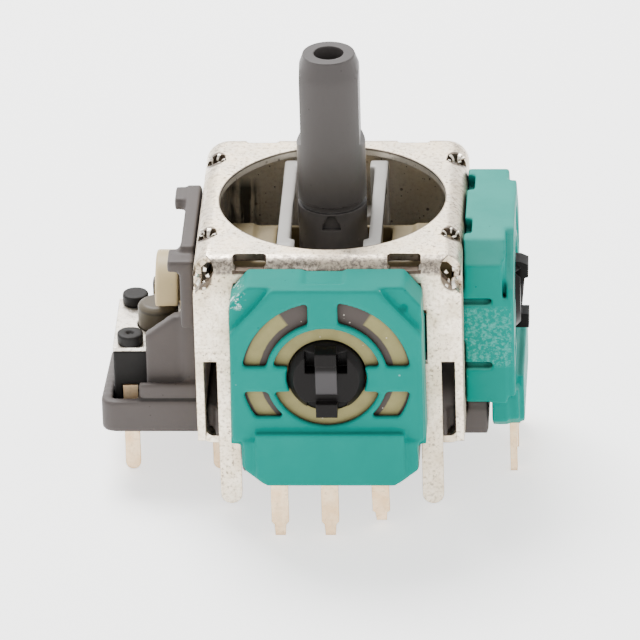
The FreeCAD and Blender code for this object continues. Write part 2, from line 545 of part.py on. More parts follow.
def pot_rooms(tag):
    """Pockets for the wafer and the terminals, and the cuts in the top, the back and the sides."""
    wafer_back = "-wafer_front + wafer_gauge + 0.02"
    rooms = [prism("wafer_bay_" + tag, "XZ_Plane", wafer_outline("0.03"), "-wafer_front", "wafer_gauge + 0.3"),
             block("wafer_slot_" + tag, ("-3.3", "3.3"), ("-wafer_front", wafer_back), ("-5.2", "0")),
             block("rear_room_" + tag, ("-6", "6"), ("-pot_hang", "1"), ("-pot_drop - 1", "-pot_sill"))]
    for index in (-1, 0, 1):
        middle = "%d*terminal_pitch" % index
        half = "(terminal_width/2 + 0.02)"
        room = "(terminal_gauge/2 + 0.02)"
        rooms.append(block("pin_slot_%s_%d" % (tag, index + 2), (middle + " - " + half, middle + " + " + half),
                           ("-terminal_reach - " + room, "-terminal_reach + " + room),
                           ("-pot_drop - 1", "-4.4")))
    if tag == "front":
        rooms.append(block("top_recess", ("-1.15", "0.95"), ("-pot_depth + 0.4", "1"),
                           ("pot_rise - 0.12", "pot_rise + 1")))
        spot = [("3.86 + %s*0.25" % a, "3.75 + %s*0.25" % b)
                for a, b in ((1, 0), (0.5, 0.87), (-0.5, 0.87), (-1, 0), (-0.5, -0.87), (0.5, -0.87))]
        rooms.append(prism("dimple", "XZ_Plane", spot, "-pot_depth - 1", 1.12))
        return rooms
    for side in (-1, 1):
        low, high = ("1.6", "3.2") if side > 0 else ("-3.2", "-1.6")
        rooms.append(block("top_notch_%d" % (side + 1), (low, high), ("-0.4", "1"),
                           ("pot_rise - 0.7", "pot_rise + 1")))
        low, high = ("pot_half - 0.35", "pot_half + 1") if side > 0 else ("-pot_half - 1", "-pot_half + 0.35")
        # a groove between the body and the face, and two short slots under the hooks
        rooms.append(block("side_groove_%d" % (side + 1), (low, high), ("-pot_depth - 0.05", "-pot_depth + 0.16"),
                           ("1.9", "pot_rise - 0.9")))
        for height in ("1.6", "-1.95"):
            rooms.append(block("side_slot_%d_%d" % (side + 1, len(rooms)), (low, high), ("-1.4", "1"),
                               (height, height + " + 0.34")))
    return rooms


def hook_barb(name, side):
    """The barb behind the wall that holds a housing in its window."""
    low, high = ("hook_reach - 0.2", "hook_reach + 0.1")
    if side < 0:
        low, high = "-(%s)" % high, "-(%s)" % low
    return block("pot_barb_" + name, (low, high), ("sheet_gauge + 0.03", "sheet_gauge + 0.3"),
                 ("hook_low + 0.4", "hook_high - 0.4"))


def wafer_outline(spare):
    """Eight corners round the wafer's tracks, with some spare room for the housing's pocket."""
    out = "wafer_radius + " + spare
    step = "0.414*(%s)" % out
    right = [(step, out), (out, step), (out, "-" + step), (step, "-(%s)" % out)]
    return right + [("-(%s)" % x, z) for x, z in reversed(right)]


def wafer(tag):
    plate = prism("wafer_plate_" + tag, "XZ_Plane", wafer_outline("0"), "-wafer_front + seat_gap",
                  "wafer_gauge - seat_gap")
    tail = block("wafer_tail_" + tag, ("-3.25", "3.25"), ("-wafer_front + seat_gap", "-wafer_front + wafer_gauge"),
                 ("-4.56", "0"))
    body = fuse("wafer_body_" + tag, [plate, tail])
    return cut("wafer_" + tag, body, [rod("wafer_hole_" + tag, "y", "rotor_radius + running_gap", 0, "-5", 0, 6)])


def terminal(tag, index):
    """A flat pin with a narrowed tip, held in the housing's lower block."""
    middle = "%d*terminal_pitch" % index
    half = "terminal_width/2"
    tip = "-pivot_height - terminal_drop"
    points = [(middle + " - " + half, "-4.6"), (middle + " + " + half, "-4.6"),
              (middle + " + " + half, tip + " + 0.75"), (middle + " + " + half + " - 0.14", tip + " + 0.6"),
              (middle + " + " + half + " - 0.18", tip), (middle + " - " + half + " + 0.18", tip),
              (middle + " - " + half + " + 0.14", tip + " + 0.6"), (middle + " - " + half, tip + " + 0.75")]
    return prism("terminal_%s_%d" % (tag, index + 2), "XZ_Plane", points,
                 "-terminal_reach - terminal_gauge/2", "terminal_gauge")


def rotor(tag):
    """Black disc that snaps on the yoke's tongue; its blocks stand proud at top and bottom."""
    disc = rod("rotor_disc_" + tag, "y", "rotor_radius", 0, "-rotor_edge", 0, "rotor_edge - 0.75")
    crown = cone("rotor_crown_" + tag, "y", "rotor_radius - 0.3", "rotor_radius", 0, "-rotor_face", 0,
                 "rotor_face - rotor_edge")
    tools = [block("rotor_slot_left_" + tag, ("-1.05", "-0.5"), ("-5", "-rotor_face + 0.8"), ("0.4", "1.5")),
             block("rotor_slot_right_" + tag, ("0.5", "1.05"), ("-5", "-rotor_face + 0.8"), ("0.4", "1.5")),
             block("rotor_foot_" + tag, ("-1.0", "1.0"), ("-5", "-rotor_face + 0.6"), ("-2.1", "-1.2")),
             block("rotor_tongue_" + tag, ("-0.95 - seat_gap", "0.95 + seat_gap"), ("-1.6", "0"),
                   ("-0.45 - seat_gap", "0.45 + seat_gap"))]
    shaped = cut("rotor_cut_" + tag, fuse("rotor_whole_" + tag, [disc, crown]), tools)
    # the bar between the blocks slopes from the upper one to the lower one
    reach = "-rotor_hook"
    bar = prism("rotor_bar_" + tag, "YZ_Plane",
                [(reach, "1.62"), (reach, "0.95"), ("-rotor_face - 0.2", "0.9"), ("-rotor_face - 0.05", "-0.75"),
                 ("-rotor_face + 0.4", "-0.8"), ("-rotor_face + 0.4", "-1.15"), (reach, "-1.15"),
                 (reach, "-1.88"), ("-rotor_face + 0.8", "-1.88"), ("-rotor_face + 0.8", "1.8"),
                 ("-rotor_face", "1.8")], "-0.53", "1.06")
    return fuse("rotor_" + tag, [shaped, bar])


def wiper(tag):
    """Spring contact between the rotor and the wafer: a thin frame with two fingers."""
    outer = [("-2.3", "-1.2"), ("-1.2", "-2.3"), ("1.2", "-2.3"), ("2.3", "-1.2"),
             ("2.3", "1.2"), ("1.2", "2.3"), ("-1.2", "2.3"), ("-2.3", "1.2")]
    plate = prism("wiper_plate_" + tag, "XZ_Plane", outer, "-wafer_front + wafer_gauge + 0.1", 0.12)
    return cut("wiper_" + tag, plate, [rod("wiper_in_" + tag, "y", "rotor_radius", 0, "-2", 0, 3)])


# The whole sensor is drawn once about its own axis, then stands at the front or on the right
STANDS = {"front": FreeCAD.Rotation(), "side": FreeCAD.Rotation(FreeCAD.Vector(0, 0, 1), 90)}


def stand(item, tag, label):
    """Put a sensor piece where it belongs: at the front wall, or turned to the right wall."""
    link = doc.addObject("Part::Compound", label + "_placed")
    link.Links = [item]
    link.Placement = FreeCAD.Placement(FreeCAD.Vector(), STANDS[tag])
    if tag == "front":
        place(link, "0", "-frame_depth/2", "pivot_height")
    else:
        place(link, "frame_width/2", "0", "pivot_height")
    finish(link, label)


def sensors():
    for tag in ("front", "side"):
        stand(pot_housing(tag), tag, tag + "_pot_housing")
        stand(wafer(tag), tag, tag + "_wafer")
        for index in (-1, 0, 1):
            stand(terminal(tag, index), tag, "%s_terminal_%d" % (tag, index + 2))
        stand(rotor(tag), tag, tag + "_rotor")
        stand(wiper(tag), tag, tag + "_wiper")


# Upper yoke: two rails along Y over an arch, with a journal at each end
def upper_yoke():
    outer = "slot_half + rail_gauge"
    profile = [("-rail_reach", "-1.5"), ("-rail_reach", "rail_rise - 0.95"), ("-rail_reach + 0.15", "rail_rise - 0.5"),
               ("-rail_reach + 0.4", "rail_rise - 0.15"), ("-rail_reach + 0.8", "rail_rise"),
               ("rail_reach - 0.8", "rail_rise"), ("rail_reach - 0.4", "rail_rise - 0.15"),
               ("rail_reach - 0.15", "rail_rise - 0.5"), ("rail_reach", "rail_rise - 0.95"),
               ("rail_reach", "-1.5"), ("arch_half", "-1.5"), ("arch_half", "1.8"),
               ("arch_half - 0.7", "rail_underside - 0.6"), ("arch_half - 1.7", "rail_underside"),
               ("-arch_half + 1.7", "rail_underside"), ("-arch_half + 0.7", "rail_underside - 0.6"),
               ("-arch_half", "1.8"), ("-arch_half", "-1.5")]
    slab = prism("rails", "YZ_Plane", profile, "-(%s)" % outer, "2*(%s)" % outer)
    slot = block("rail_slot", ("-slot_half", "slot_half"), ("-arch_half - 0.35", "arch_half + 0.35"), ("0", "rail_rise + 1"))
    throat = block("rail_throat", ("-slot_half + 0.25", "slot_half - 0.25"), ("-rail_reach - 1", "rail_reach + 1"), ("2.1", "rail_rise + 1"))
    body = cut("yoke_slotted", slab, [slot, throat])
    wall = "frame_depth/2"
    front = rod("yoke_front_journal", "y", "shaft_radius", 0, "-(%s) - 0.75 + seat_gap" % wall, 0, "%s + 0.75 - rail_reach + 0.2 - seat_gap" % wall)
    tongue = block("yoke_tongue", ("-0.95", "0.95"), ("-(%s) - 1.55" % wall, "-rail_reach"), ("-0.45", "0.45"))
    rear = rod("yoke_rear_journal", "y", "shaft_radius", 0, "rail_reach - 0.2", 0, "%s + 0.25 - rail_reach + 0.2" % wall)
    whole = fuse("yoke_upper", [body, front, tongue, rear])
    bind(whole, **{"Placement.Base.z": "pivot_height"})
    finish(whole, "upper_yoke")


# Lower yoke: a cradle round the lever, raised ends, a journal on the right and a lug on the left
def lower_yoke():
    inside = "frame_width/2 - sheet_gauge - 0.25"
    profile = [("-(%s)" % inside, "-bar_drop"), (inside, "-bar_drop"), (inside, "tower_rise"), ("tower_inner", "tower_rise"),
               ("tower_inner - 0.2", "bar_rise"), ("-tower_inner + 0.2", "bar_rise"), ("-tower_inner", "tower_rise"),
               ("-(%s)" % inside, "tower_rise")]
    bar = prism("cradle_front", "XZ_Plane", profile, "-bar_half", "2*bar_half")
    # the same bar from its end: square below, rounded off above
    half = [("bar_half", "-bar_drop"), ("bar_half", "0.9"), ("bar_half - 0.1", "1.6"), ("bar_half - 0.3", "2.3"),
            ("bar_half - 0.6", "tower_rise")]
    section = half + [("-(%s)" % y, z) for y, z in reversed(half)]
    bar = common("cradle", [bar, prism("cradle_end", "YZ_Plane", section, "-(%s)" % inside, "2*(%s)" % inside)])
    slot = block("cradle_slot", ("-foot_radius - 0.7", "foot_radius + 0.7"), ("-lever_radius - 0.06", "lever_radius + 0.06"), ("-5", "5"))
    pin = rod("cradle_pin_bore", "y", "0.8 + running_gap", 0, "-bar_half - 1", 0, "2*bar_half + 2")
    left = rod("yoke_left_shaft", "x", "shaft_radius", "-(frame_width/2 + lug_far)", 0, 0, "(frame_width/2 + lug_far) - (%s) + 0.3" % inside)
    trim = block("yoke_left_trim", ("-(frame_width/2 + lug_far) - 1", "-(frame_width/2 + lug_near)"), ("-3", "3"), ("-3", "0.1"))
    disc = cut("lug_half", rod("lug_disc", "x", "lug_radius", "-(frame_width/2 + lug_far)", 0, 0, "(frame_width/2 + lug_far) - (frame_width/2 + lug_near)"), [trim])
    nose = rod("lug_nose_rod", "x", "lug_nose", "-(frame_width/2 + lug_far)", 0, 0, "(frame_width/2 + lug_far) - (frame_width/2 + lug_near) + 0.5")
    neck = cut("yoke_neck", left, [block("yoke_neck_trim", ("-(frame_width/2 + lug_far) - 1", "-(frame_width/2 + lug_near)"), ("-3", "3"), ("-3", "3"))])
    right = rod("yoke_right_journal", "x", "shaft_radius - 0.15", "%s - 0.3" % inside, 0, 0, "frame_width/2 + 0.75 - seat_gap - (%s) + 0.3" % inside)
    tongue = block("yoke_right_tongue", (inside, "frame_width/2 + 1.55"), ("-0.95", "0.95"), ("-0.38", "0.38"))
    body = cut("cradle_cut", bar, [slot, pin])
    whole = fuse("yoke_lower", [body, neck, disc, nose, right, tongue])
    bind(whole, **{"Placement.Base.z": "pivot_height"})
    finish(whole, "lower_yoke")


# Lever: turned shaft with two flats, a tapered end with a blind hole, a groove, pins and a ball foot
def lever():
    top = "lever_top - pivot_height"
    flat_foot = "lever_flat_foot - pivot_height"
    shaft = rod("lever_shaft", "z", "lever_radius", 0, 0, 0, "%s - lever_taper" % top)
    tip = cone("lever_cone", "z", "lever_radius", "lever_tip_radius", 0, 0, "%s - lever_taper" % top, "lever_taper")
    # below the pivot two cones follow a ball of the foot's radius, which rides on the spring seat
    foot = fuse("lever_foot", [cone("lever_foot_low", "z", "0.2*foot_radius", "0.5*foot_radius", 0, 0,
                                    "-0.98*foot_radius", "0.114*foot_radius"),
                               cone("lever_foot_high", "z", "0.5*foot_radius", "lever_radius", 0, 0,
                                    "-0.866*foot_radius", "0.866*foot_radius - foot_shoulder"),
                               rod("lever_foot_rod", "z", "lever_radius", 0, 0, "-foot_shoulder", "foot_shoulder")])
    pins = rod("lever_pins", "y", 0.8, 0, "-bar_half + 0.05", 0, "2*bar_half - 0.1")
    body = fuse("lever_body", [shaft, tip, foot, pins])
    tools = [rod("lever_bore", "z", "lever_bore_radius", 0, 0, "%s - lever_bore_depth" % top, "lever_bore_depth + 1")]
    for side in (-1, 1):
        points = [("lever_flat/2", flat_foot), ("3", flat_foot + " - 1.5"), ("3", top + " + 1"), ("lever_flat/2", top + " + 1")]
        if side < 0:
            points = [("-(%s)" % x, z) for x, z in reversed(points)]
        tools.append(prism("lever_flat_%d" % (side + 1), "XZ_Plane", points, "-3", 6))
    groove = cut("lever_groove", rod("groove_out", "z", "lever_radius + 1", 0, 0, "5.1", 0.32),
                 [rod("groove_in", "z", "lever_radius - 0.14", 0, 0, "5", 1)])
    # a small pocket with a flat floor and a pointed top
    notch = prism("lever_notch", "XZ_Plane", [("-0.48", "4.2"), ("0.48", "4.2"), ("0.4", "4.55"), ("0.16", "5.0"),
                                              ("-0.16", "5.0"), ("-0.4", "4.55")], "-lever_radius - 1", "1.3")
    tools += [groove, notch]
    whole = cut("lever_shape", body, tools)
    bind(whole, **{"Placement.Base.z": "pivot_height"})
    finish(whole, "stick_lever")


# Spring seat under the ball foot, and the return spring round its stem
def seat_and_spring():
    top = "pivot_height - foot_radius - 0.04"
    disc = rod("seat_disc", "z", "spring_radius + 0.45", 0, 0, "%s - 0.55" % top, 0.55)
    stem = rod("seat_stem", "z", 0.8, 0, 0, "%s - 2.9" % top, 2.6)
    finish(fuse("seat", [disc, stem]), "spring_seat")
    low = size("tray_floor") + 0.5 + size("spring_wire") / 2 + 0.01
    high = size("pivot_height") - size("foot_radius") - 0.04 - 0.55 - size("spring_wire") / 2 - 0.02
    pitch = (high - low) / size("spring_turns")
    helix = Part.makeHelix(pitch, high - low, size("spring_radius"))
    start = FreeCAD.Vector(size("spring_radius"), 0, 0)
    # four flats round the wire keep the coil light
    ring = Part.makeCircle(size("spring_wire") / 2, start, FreeCAD.Vector(0, 1, 0))
    corners = ring.discretize(5)
    section = Part.makePolygon(corners[:-1] + corners[:1])
    coil = Part.Wire(helix.Edges).makePipeShell([section], True, True)
    spring = doc.addObject("Part::Feature", "spring")
    spring.Shape = coil
    spring.Placement = FreeCAD.Placement(FreeCAD.Vector(0, 0, low), FreeCAD.Rotation())
    finish(spring, "return_spring")


# Push switch: case with four pegs headed over a cover, terminals, snap dome and button
def push_switch():
    left, right = "-(frame_width/2 + switch_far)", "-(frame_width/2 + switch_near)"
    case = block("switch_case", (left, right), ("-switch_half", "switch_half"), ("tray_floor + seat_gap", "cover_top - cover_gauge"))
    peg_x = "-(frame_width/2 + button_reach) - 1.3"
    pegs = []
    for end in (-1, 1):
        tag = "front" if end < 0 else "rear"
        y = "%d*rivet_reach + 0.12" % end
        pegs.append(block("peg_" + tag, (peg_x + " - 0.3", peg_x + " + 0.3"), (y + " - 0.3", y + " + 0.3"),
                          ("cover_top - cover_gauge - 0.2", "cover_top + 0.03")))
        pegs.append(rod("head_" + tag, "z", "rivet_radius", peg_x, y, "cover_top", "rivet_rise"))
    well = block("switch_well", ("-(frame_width/2 + button_reach) - 1.6", "-(frame_width/2 + button_reach) + 1.6"),
                 ("-1.4", "1.4"), ("cover_top - 1.35", "cover_top + 1"))
    corners = ((1, 0), (0.5, 0.87), (-0.5, 0.87), (-1, 0), (-0.5, -0.87), (0.5, -0.87))
    dimple = [(peg_x + " + %s*0.22" % a, "-rivet_reach + 0.12 + %s*0.22" % b) for a, b in corners]
    rooms = [well, prism("head_dimple", "XY_Plane", dimple, "cover_top + rivet_rise - 0.15", 1)]
    outer_x = "-(frame_width/2 + button_reach) - pin_outer"
    inner_x = "-(frame_width/2 + button_reach) + pin_inner"
    for end in (-1, 1):
        y = "%d*(switch_half - 0.2)" % end
        rooms.append(block("outer_contact_%d" % (end + 1), (outer_x + " - 0.42", outer_x + " + 0.42"),
                           (y + " - 0.3", y + " + 0.3"), ("0", "cover_top - 2.1")))
        rooms.append(block("inner_contact_%d" % (end + 1), ("-frame_width/2 - 1.3", "-frame_width/2"),
                           (y + " - 0.19", y + " + 0.3"), ("0", "0.84")))
    whole = cut("switch_solid", fuse("switch_joined", [case] + pegs), rooms)
    finish(whole, "switch_body")
    plate = block("cover_plate", (left, right), ("-switch_half", "switch_half"),
                  ("cover_top - cover_gauge", "cover_top"))
    holes = [rod("cover_hole", "z", "button_radius + running_gap", "-(frame_width/2 + button_reach)", 0, "0", 8)]
    for end in (-1, 1):
        y = "%d*rivet_reach + 0.12" % end
        holes.append(block("cover_peg_%d" % (end + 1), (peg_x + " - 0.3", peg_x + " + 0.3"),
                           (y + " - 0.3", y + " + 0.3"), ("0", "8")))
    finish(cut("cover_cut", plate, holes), "switch_cover")
    for number, (side, end) in enumerate(((-1, -1), (-1, 1), (1, -1), (1, 1)), start=1):
        x = inner_x if side > 0 else outer_x
        y = "%d*(switch_half - 0.2)" % end
        wide, narrow = (y + " - 0.15", y + " + 0.15"), (x + " - 0.38", x + " + 0.38")
        top = "0.8" if side > 0 else "cover_top - 2.15"
        pieces = [block("switch_pin_%d" % number, narrow, wide, ("-terminal_drop + 0.4", top)),
                  rod("switch_pin_tip_%d" % number, "y", 0.38, x, y + " - 0.15", "-terminal_drop + 0.4", 0.3)]
        if side > 0:
            pieces.append(block("switch_strip_%d" % number, ("-frame_width/2 - 1.25", x), wide, ("0.6", "0.8")))
        finish(fuse("switch_leg_%d" % number, pieces), "switch_terminal_%d" % number)
    dome_top = "cover_top - cover_gauge - 0.5"
    # a bowed strip, flat on top under the button
    dome_x = "-(frame_width/2 + button_reach)"
    bow = [("-1.55", "0.42"), ("-0.8", "0"), ("0.8", "0"), ("1.55", "0.42"),
           ("1.45", "0.42"), ("0.77", "0.08"), ("-0.77", "0.08"), ("-1.45", "0.42")]
    shell = prism("dome_strip", "XZ_Plane", [(dome_x + " + (%s)" % x, dome_top + " - " + z) for x, z in bow],
                  "-0.9", 1.8)
    finish(shell, "switch_dome")
    nose = "pivot_height - lug_nose - button_gap"
    stem = rod("button_stem", "z", "button_radius", "-(frame_width/2 + button_reach)", 0, "cover_top - cover_gauge - 0.3", "%s - 0.18 - cover_top + cover_gauge + 0.3" % nose)
    crown = cone("button_crown", "z", "button_radius", "button_radius - 0.25", "-(frame_width/2 + button_reach)", 0, "%s - 0.18" % nose, 0.18)
    flange = rod("button_flange", "z", "button_radius + 0.3", "-(frame_width/2 + button_reach)", 0, "cover_top - cover_gauge - 0.35", 0.32)
    finish(fuse("button", [stem, crown, flange]), "switch_button")


def main():
    metal_frame()
    moulded_base()
    sensors()
    upper_yoke()
    lower_yoke()
    lever()
    seat_and_spring()
    push_switch()
    doc.recompute()
    for item in doc.Objects:
        if "Invalid" in item.State or "Error" in item.State:
            raise RuntimeError("%s did not build: %s" % (item.Name, item.State))
    os.makedirs("parts", exist_ok=True)
    for item in PARTS:
        shape = item.Shape
        if shape.isNull() or not shape.isValid() or len(shape.Solids) != 1:
            raise RuntimeError("%s is not one sound solid: %d solids" % (item.Label, len(shape.Solids)))
    for item in PARTS:
        item.Shape.exportStep("parts/%s.step" % item.Label)
        box = item.Shape.BoundBox
        print("%-22s %8.3f mm3  x %6.2f %6.2f  y %6.2f %6.2f  z %6.2f %6.2f" % (
            item.Label, item.Shape.Volume, box.XMin, box.XMax, box.YMin, box.YMax, box.ZMin, box.ZMax))


main()
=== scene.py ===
import json
import math

import bmesh
import bpy
import numpy as np
from mathutils import Matrix, Vector


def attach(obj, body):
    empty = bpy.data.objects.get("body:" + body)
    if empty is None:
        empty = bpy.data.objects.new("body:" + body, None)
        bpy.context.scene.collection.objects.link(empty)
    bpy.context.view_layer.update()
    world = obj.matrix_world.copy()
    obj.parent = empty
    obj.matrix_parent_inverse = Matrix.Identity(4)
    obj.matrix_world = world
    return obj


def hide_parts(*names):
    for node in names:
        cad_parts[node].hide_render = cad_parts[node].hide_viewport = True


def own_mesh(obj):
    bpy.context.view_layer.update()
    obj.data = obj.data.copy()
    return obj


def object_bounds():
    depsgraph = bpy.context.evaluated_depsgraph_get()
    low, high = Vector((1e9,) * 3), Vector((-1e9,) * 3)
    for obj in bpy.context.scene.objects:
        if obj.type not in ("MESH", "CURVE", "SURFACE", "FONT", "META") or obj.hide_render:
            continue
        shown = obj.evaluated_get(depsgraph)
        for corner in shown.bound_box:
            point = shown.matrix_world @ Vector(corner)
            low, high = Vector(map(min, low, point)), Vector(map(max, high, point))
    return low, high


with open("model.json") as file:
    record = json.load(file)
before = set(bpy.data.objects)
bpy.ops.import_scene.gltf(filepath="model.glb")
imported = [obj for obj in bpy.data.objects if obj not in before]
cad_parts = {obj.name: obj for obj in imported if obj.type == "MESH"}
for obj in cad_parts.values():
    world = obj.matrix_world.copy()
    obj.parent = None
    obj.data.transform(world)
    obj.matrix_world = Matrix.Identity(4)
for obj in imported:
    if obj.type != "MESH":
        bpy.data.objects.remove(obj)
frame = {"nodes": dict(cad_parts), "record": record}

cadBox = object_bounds()
mm = 0.001


def linear(hexColour):
    # sRGB to linear: below 0.04045 divide by 12.92, above it raise (v + 0.055) / 1.055 to 2.4
    values = np.array([int(hexColour[i:i + 2], 16) for i in (1, 3, 5)]) / 255.0
    values = np.where(values <= 0.04045, values / 12.92, ((values + 0.055) / 1.055) ** 2.4)
    return (*values.tolist(), 1.0)


def addNode(tree, kind, settings=None, links=None):
    # small names are the node's own settings, capitals and numbers are its sockets
    node = tree.nodes.new(kind)
    for name, value in (settings or {}).items():
        if name == "stops":
            ramp = node.color_ramp
            while len(ramp.elements) < len(value):
                ramp.elements.new(0.5)
            for stop, (position, colour) in zip(ramp.elements, value):
                stop.position = position
                stop.color = linear(colour)
        elif isinstance(name, int) or name[0].isupper():
            node.inputs[name].default_value = value
        else:
            setattr(node, name, value)
    for name, source in (links or {}).items():
        tree.links.new(source, node.inputs[name])
    return node


def newMaterial(name):
    material = bpy.data.materials.new(name)
    material.use_nodes = True
    tree = material.node_tree
    tree.nodes.clear()
    coords = addNode(tree, "ShaderNodeTexCoord")
    # object coordinates in millimetres
    inMm = addNode(tree, "ShaderNodeMapping", {"Scale": (1000, 1000, 1000)}, {"Vector": coords.outputs["Object"]})
    return material, tree, inMm.outputs["Vector"]


def closeMaterial(tree, settings, links):
    shader = addNode(tree, "ShaderNodeBsdfPrincipled", settings, links)
    addNode(tree, "ShaderNodeOutputMaterial", {}, {"Surface": shader.outputs["BSDF"]})


def joined(tree, values, operation="MULTIPLY"):
    # one mask from several: their product, or another operation such as the largest of them
    total, *others = values
    for other in others:
        settings, links = {"operation": operation}, {0: total}
        (settings if isinstance(other, float) else links)[1] = other
        total = addNode(tree, "ShaderNodeMath", settings, links).outputs["Value"]
    return total


def coat(tree, under, over, masks, share=1.0):
    # one colour over another where every mask is 1, and share of it there; hex text is a fixed colour, anything else a socket
    settings, links = {"data_type": "RGBA", 0: share}, {}
    if masks:
        links[0] = joined(tree, masks if share == 1.0 else [*masks, share])
    for socket, colour in ((6, under), (7, over)):
        if isinstance(colour, str):
            settings[socket] = linear(colour)
        else:
            links[socket] = colour
    return addNode(tree, "ShaderNodeMix", settings, links).outputs[2]


def blotches(tree, point, size, span, most, detail, roughness=0.5):
    # ragged patches about size mm across: 0 where the noise is at the span's start, most where it is at its end
    noise = addNode(tree, "ShaderNodeTexNoise", {"Scale": 1 / size, "Detail": detail, "Roughness": roughness},
                    {"Vector": point})
    mask = addNode(tree, "ShaderNodeMapRange", {"From Min": span[0], "From Max": span[1], "To Max": most},
                   {"Value": noise.outputs["Fac"]})
    return mask.outputs["Result"]


def specks(tree, point, size, share):
    # one round speck in a share of the cells of a random grid, a tenth of a millimetre or less across
    cells = addNode(tree, "ShaderNodeTexVoronoi", {"Scale": 1 / size, "Randomness": 1.0}, {"Vector": point})
    inside = addNode(tree, "ShaderNodeMapRange", {"From Min": 0.16, "From Max": 0.08},
                     {"Value": cells.outputs["Distance"]})
    chance = addNode(tree, "ShaderNodeSeparateColor", {}, {"Color": cells.outputs["Color"]})
    picked = addNode(tree, "ShaderNodeMath", {"operation": "LESS_THAN", 1: share}, {0: chance.outputs["Red"]})
    return joined(tree, [inside.outputs["Result"], picked.outputs["Value"]])


def edgeMask(tree, radius, strength):
    # the angle between the true normal and a rounded one is large only near an edge
    rounded = addNode(tree, "ShaderNodeBevel", {"samples": 6, "Radius": radius * mm})
    facing = addNode(tree, "ShaderNodeNewGeometry")
    dot = addNode(tree, "ShaderNodeVectorMath", {"operation": "DOT_PRODUCT"},
                  {0: rounded.outputs["Normal"], 1: facing.outputs["Normal"]})
    mask = addNode(tree, "ShaderNodeMapRange", {"From Min": 0.995, "From Max": 0.8, "To Max": strength},
                   {"Value": dot.outputs["Value"]})
    return mask.outputs["Result"], rounded.outputs["Normal"]


def paintedShadeMask(tree, reach, strength):
    # 1 deep in slots and corners, where shade is painted, 0 on open faces
    cover = addNode(tree, "ShaderNodeAmbientOcclusion", {"samples": 6, "Distance": reach * mm})
    mask = addNode(tree, "ShaderNodeMapRange", {"From Min": 0.75, "From Max": 0.2, "To Max": strength},
                   {"Value": cover.outputs["AO"]})
    return mask.outputs["Result"]


def upFacing(tree):
    # 0 on walls, 1 on faces that look up
    facing = addNode(tree, "ShaderNodeNewGeometry")
    parts = addNode(tree, "ShaderNodeSeparateXYZ", {}, {0: facing.outputs["Normal"]})
    mask = addNode(tree, "ShaderNodeMapRange", {"From Min": 0.25, "From Max": 0.8}, {"Value": parts.outputs["Z"]})
    return mask.outputs["Result"]


def inwardFacing(tree, point):
    # 1 where a face looks at the lever's axis, 0 where it looks aside or away from it
    facing = addNode(tree, "ShaderNodeNewGeometry")
    flat = addNode(tree, "ShaderNodeVectorMath", {"operation": "MULTIPLY", 1: (1, 1, 0)}, {0: point})
    away = addNode(tree, "ShaderNodeVectorMath", {"operation": "NORMALIZE"}, {0: flat.outputs["Vector"]})
    dot = addNode(tree, "ShaderNodeVectorMath", {"operation": "DOT_PRODUCT"},
                  {0: away.outputs["Vector"], 1: facing.outputs["Normal"]})
    mask = addNode(tree, "ShaderNodeMapRange", {"From Min": -0.25, "From Max": -0.5}, {"Value": dot.outputs["Value"]})
    return mask.outputs["Result"]


def within(tree, value, low, high, soft):
    # 1 between two values, with soft ends
    rise = addNode(tree, "ShaderNodeMapRange", {"From Min": low - soft, "From Max": low + soft}, {"Value": value})
    fall = addNode(tree, "ShaderNodeMapRange", {"From Min": high + soft, "From Max": high - soft}, {"Value": value})
    return joined(tree, [rise.outputs["Result"], fall.outputs["Result"]])


def zone(tree, parts, box):
    # 1 inside a box: for each axis its low end, its high end and how soft they are, in mm
    return joined(tree, [within(tree, parts.outputs[axis], *span) for axis, span in box.items()])
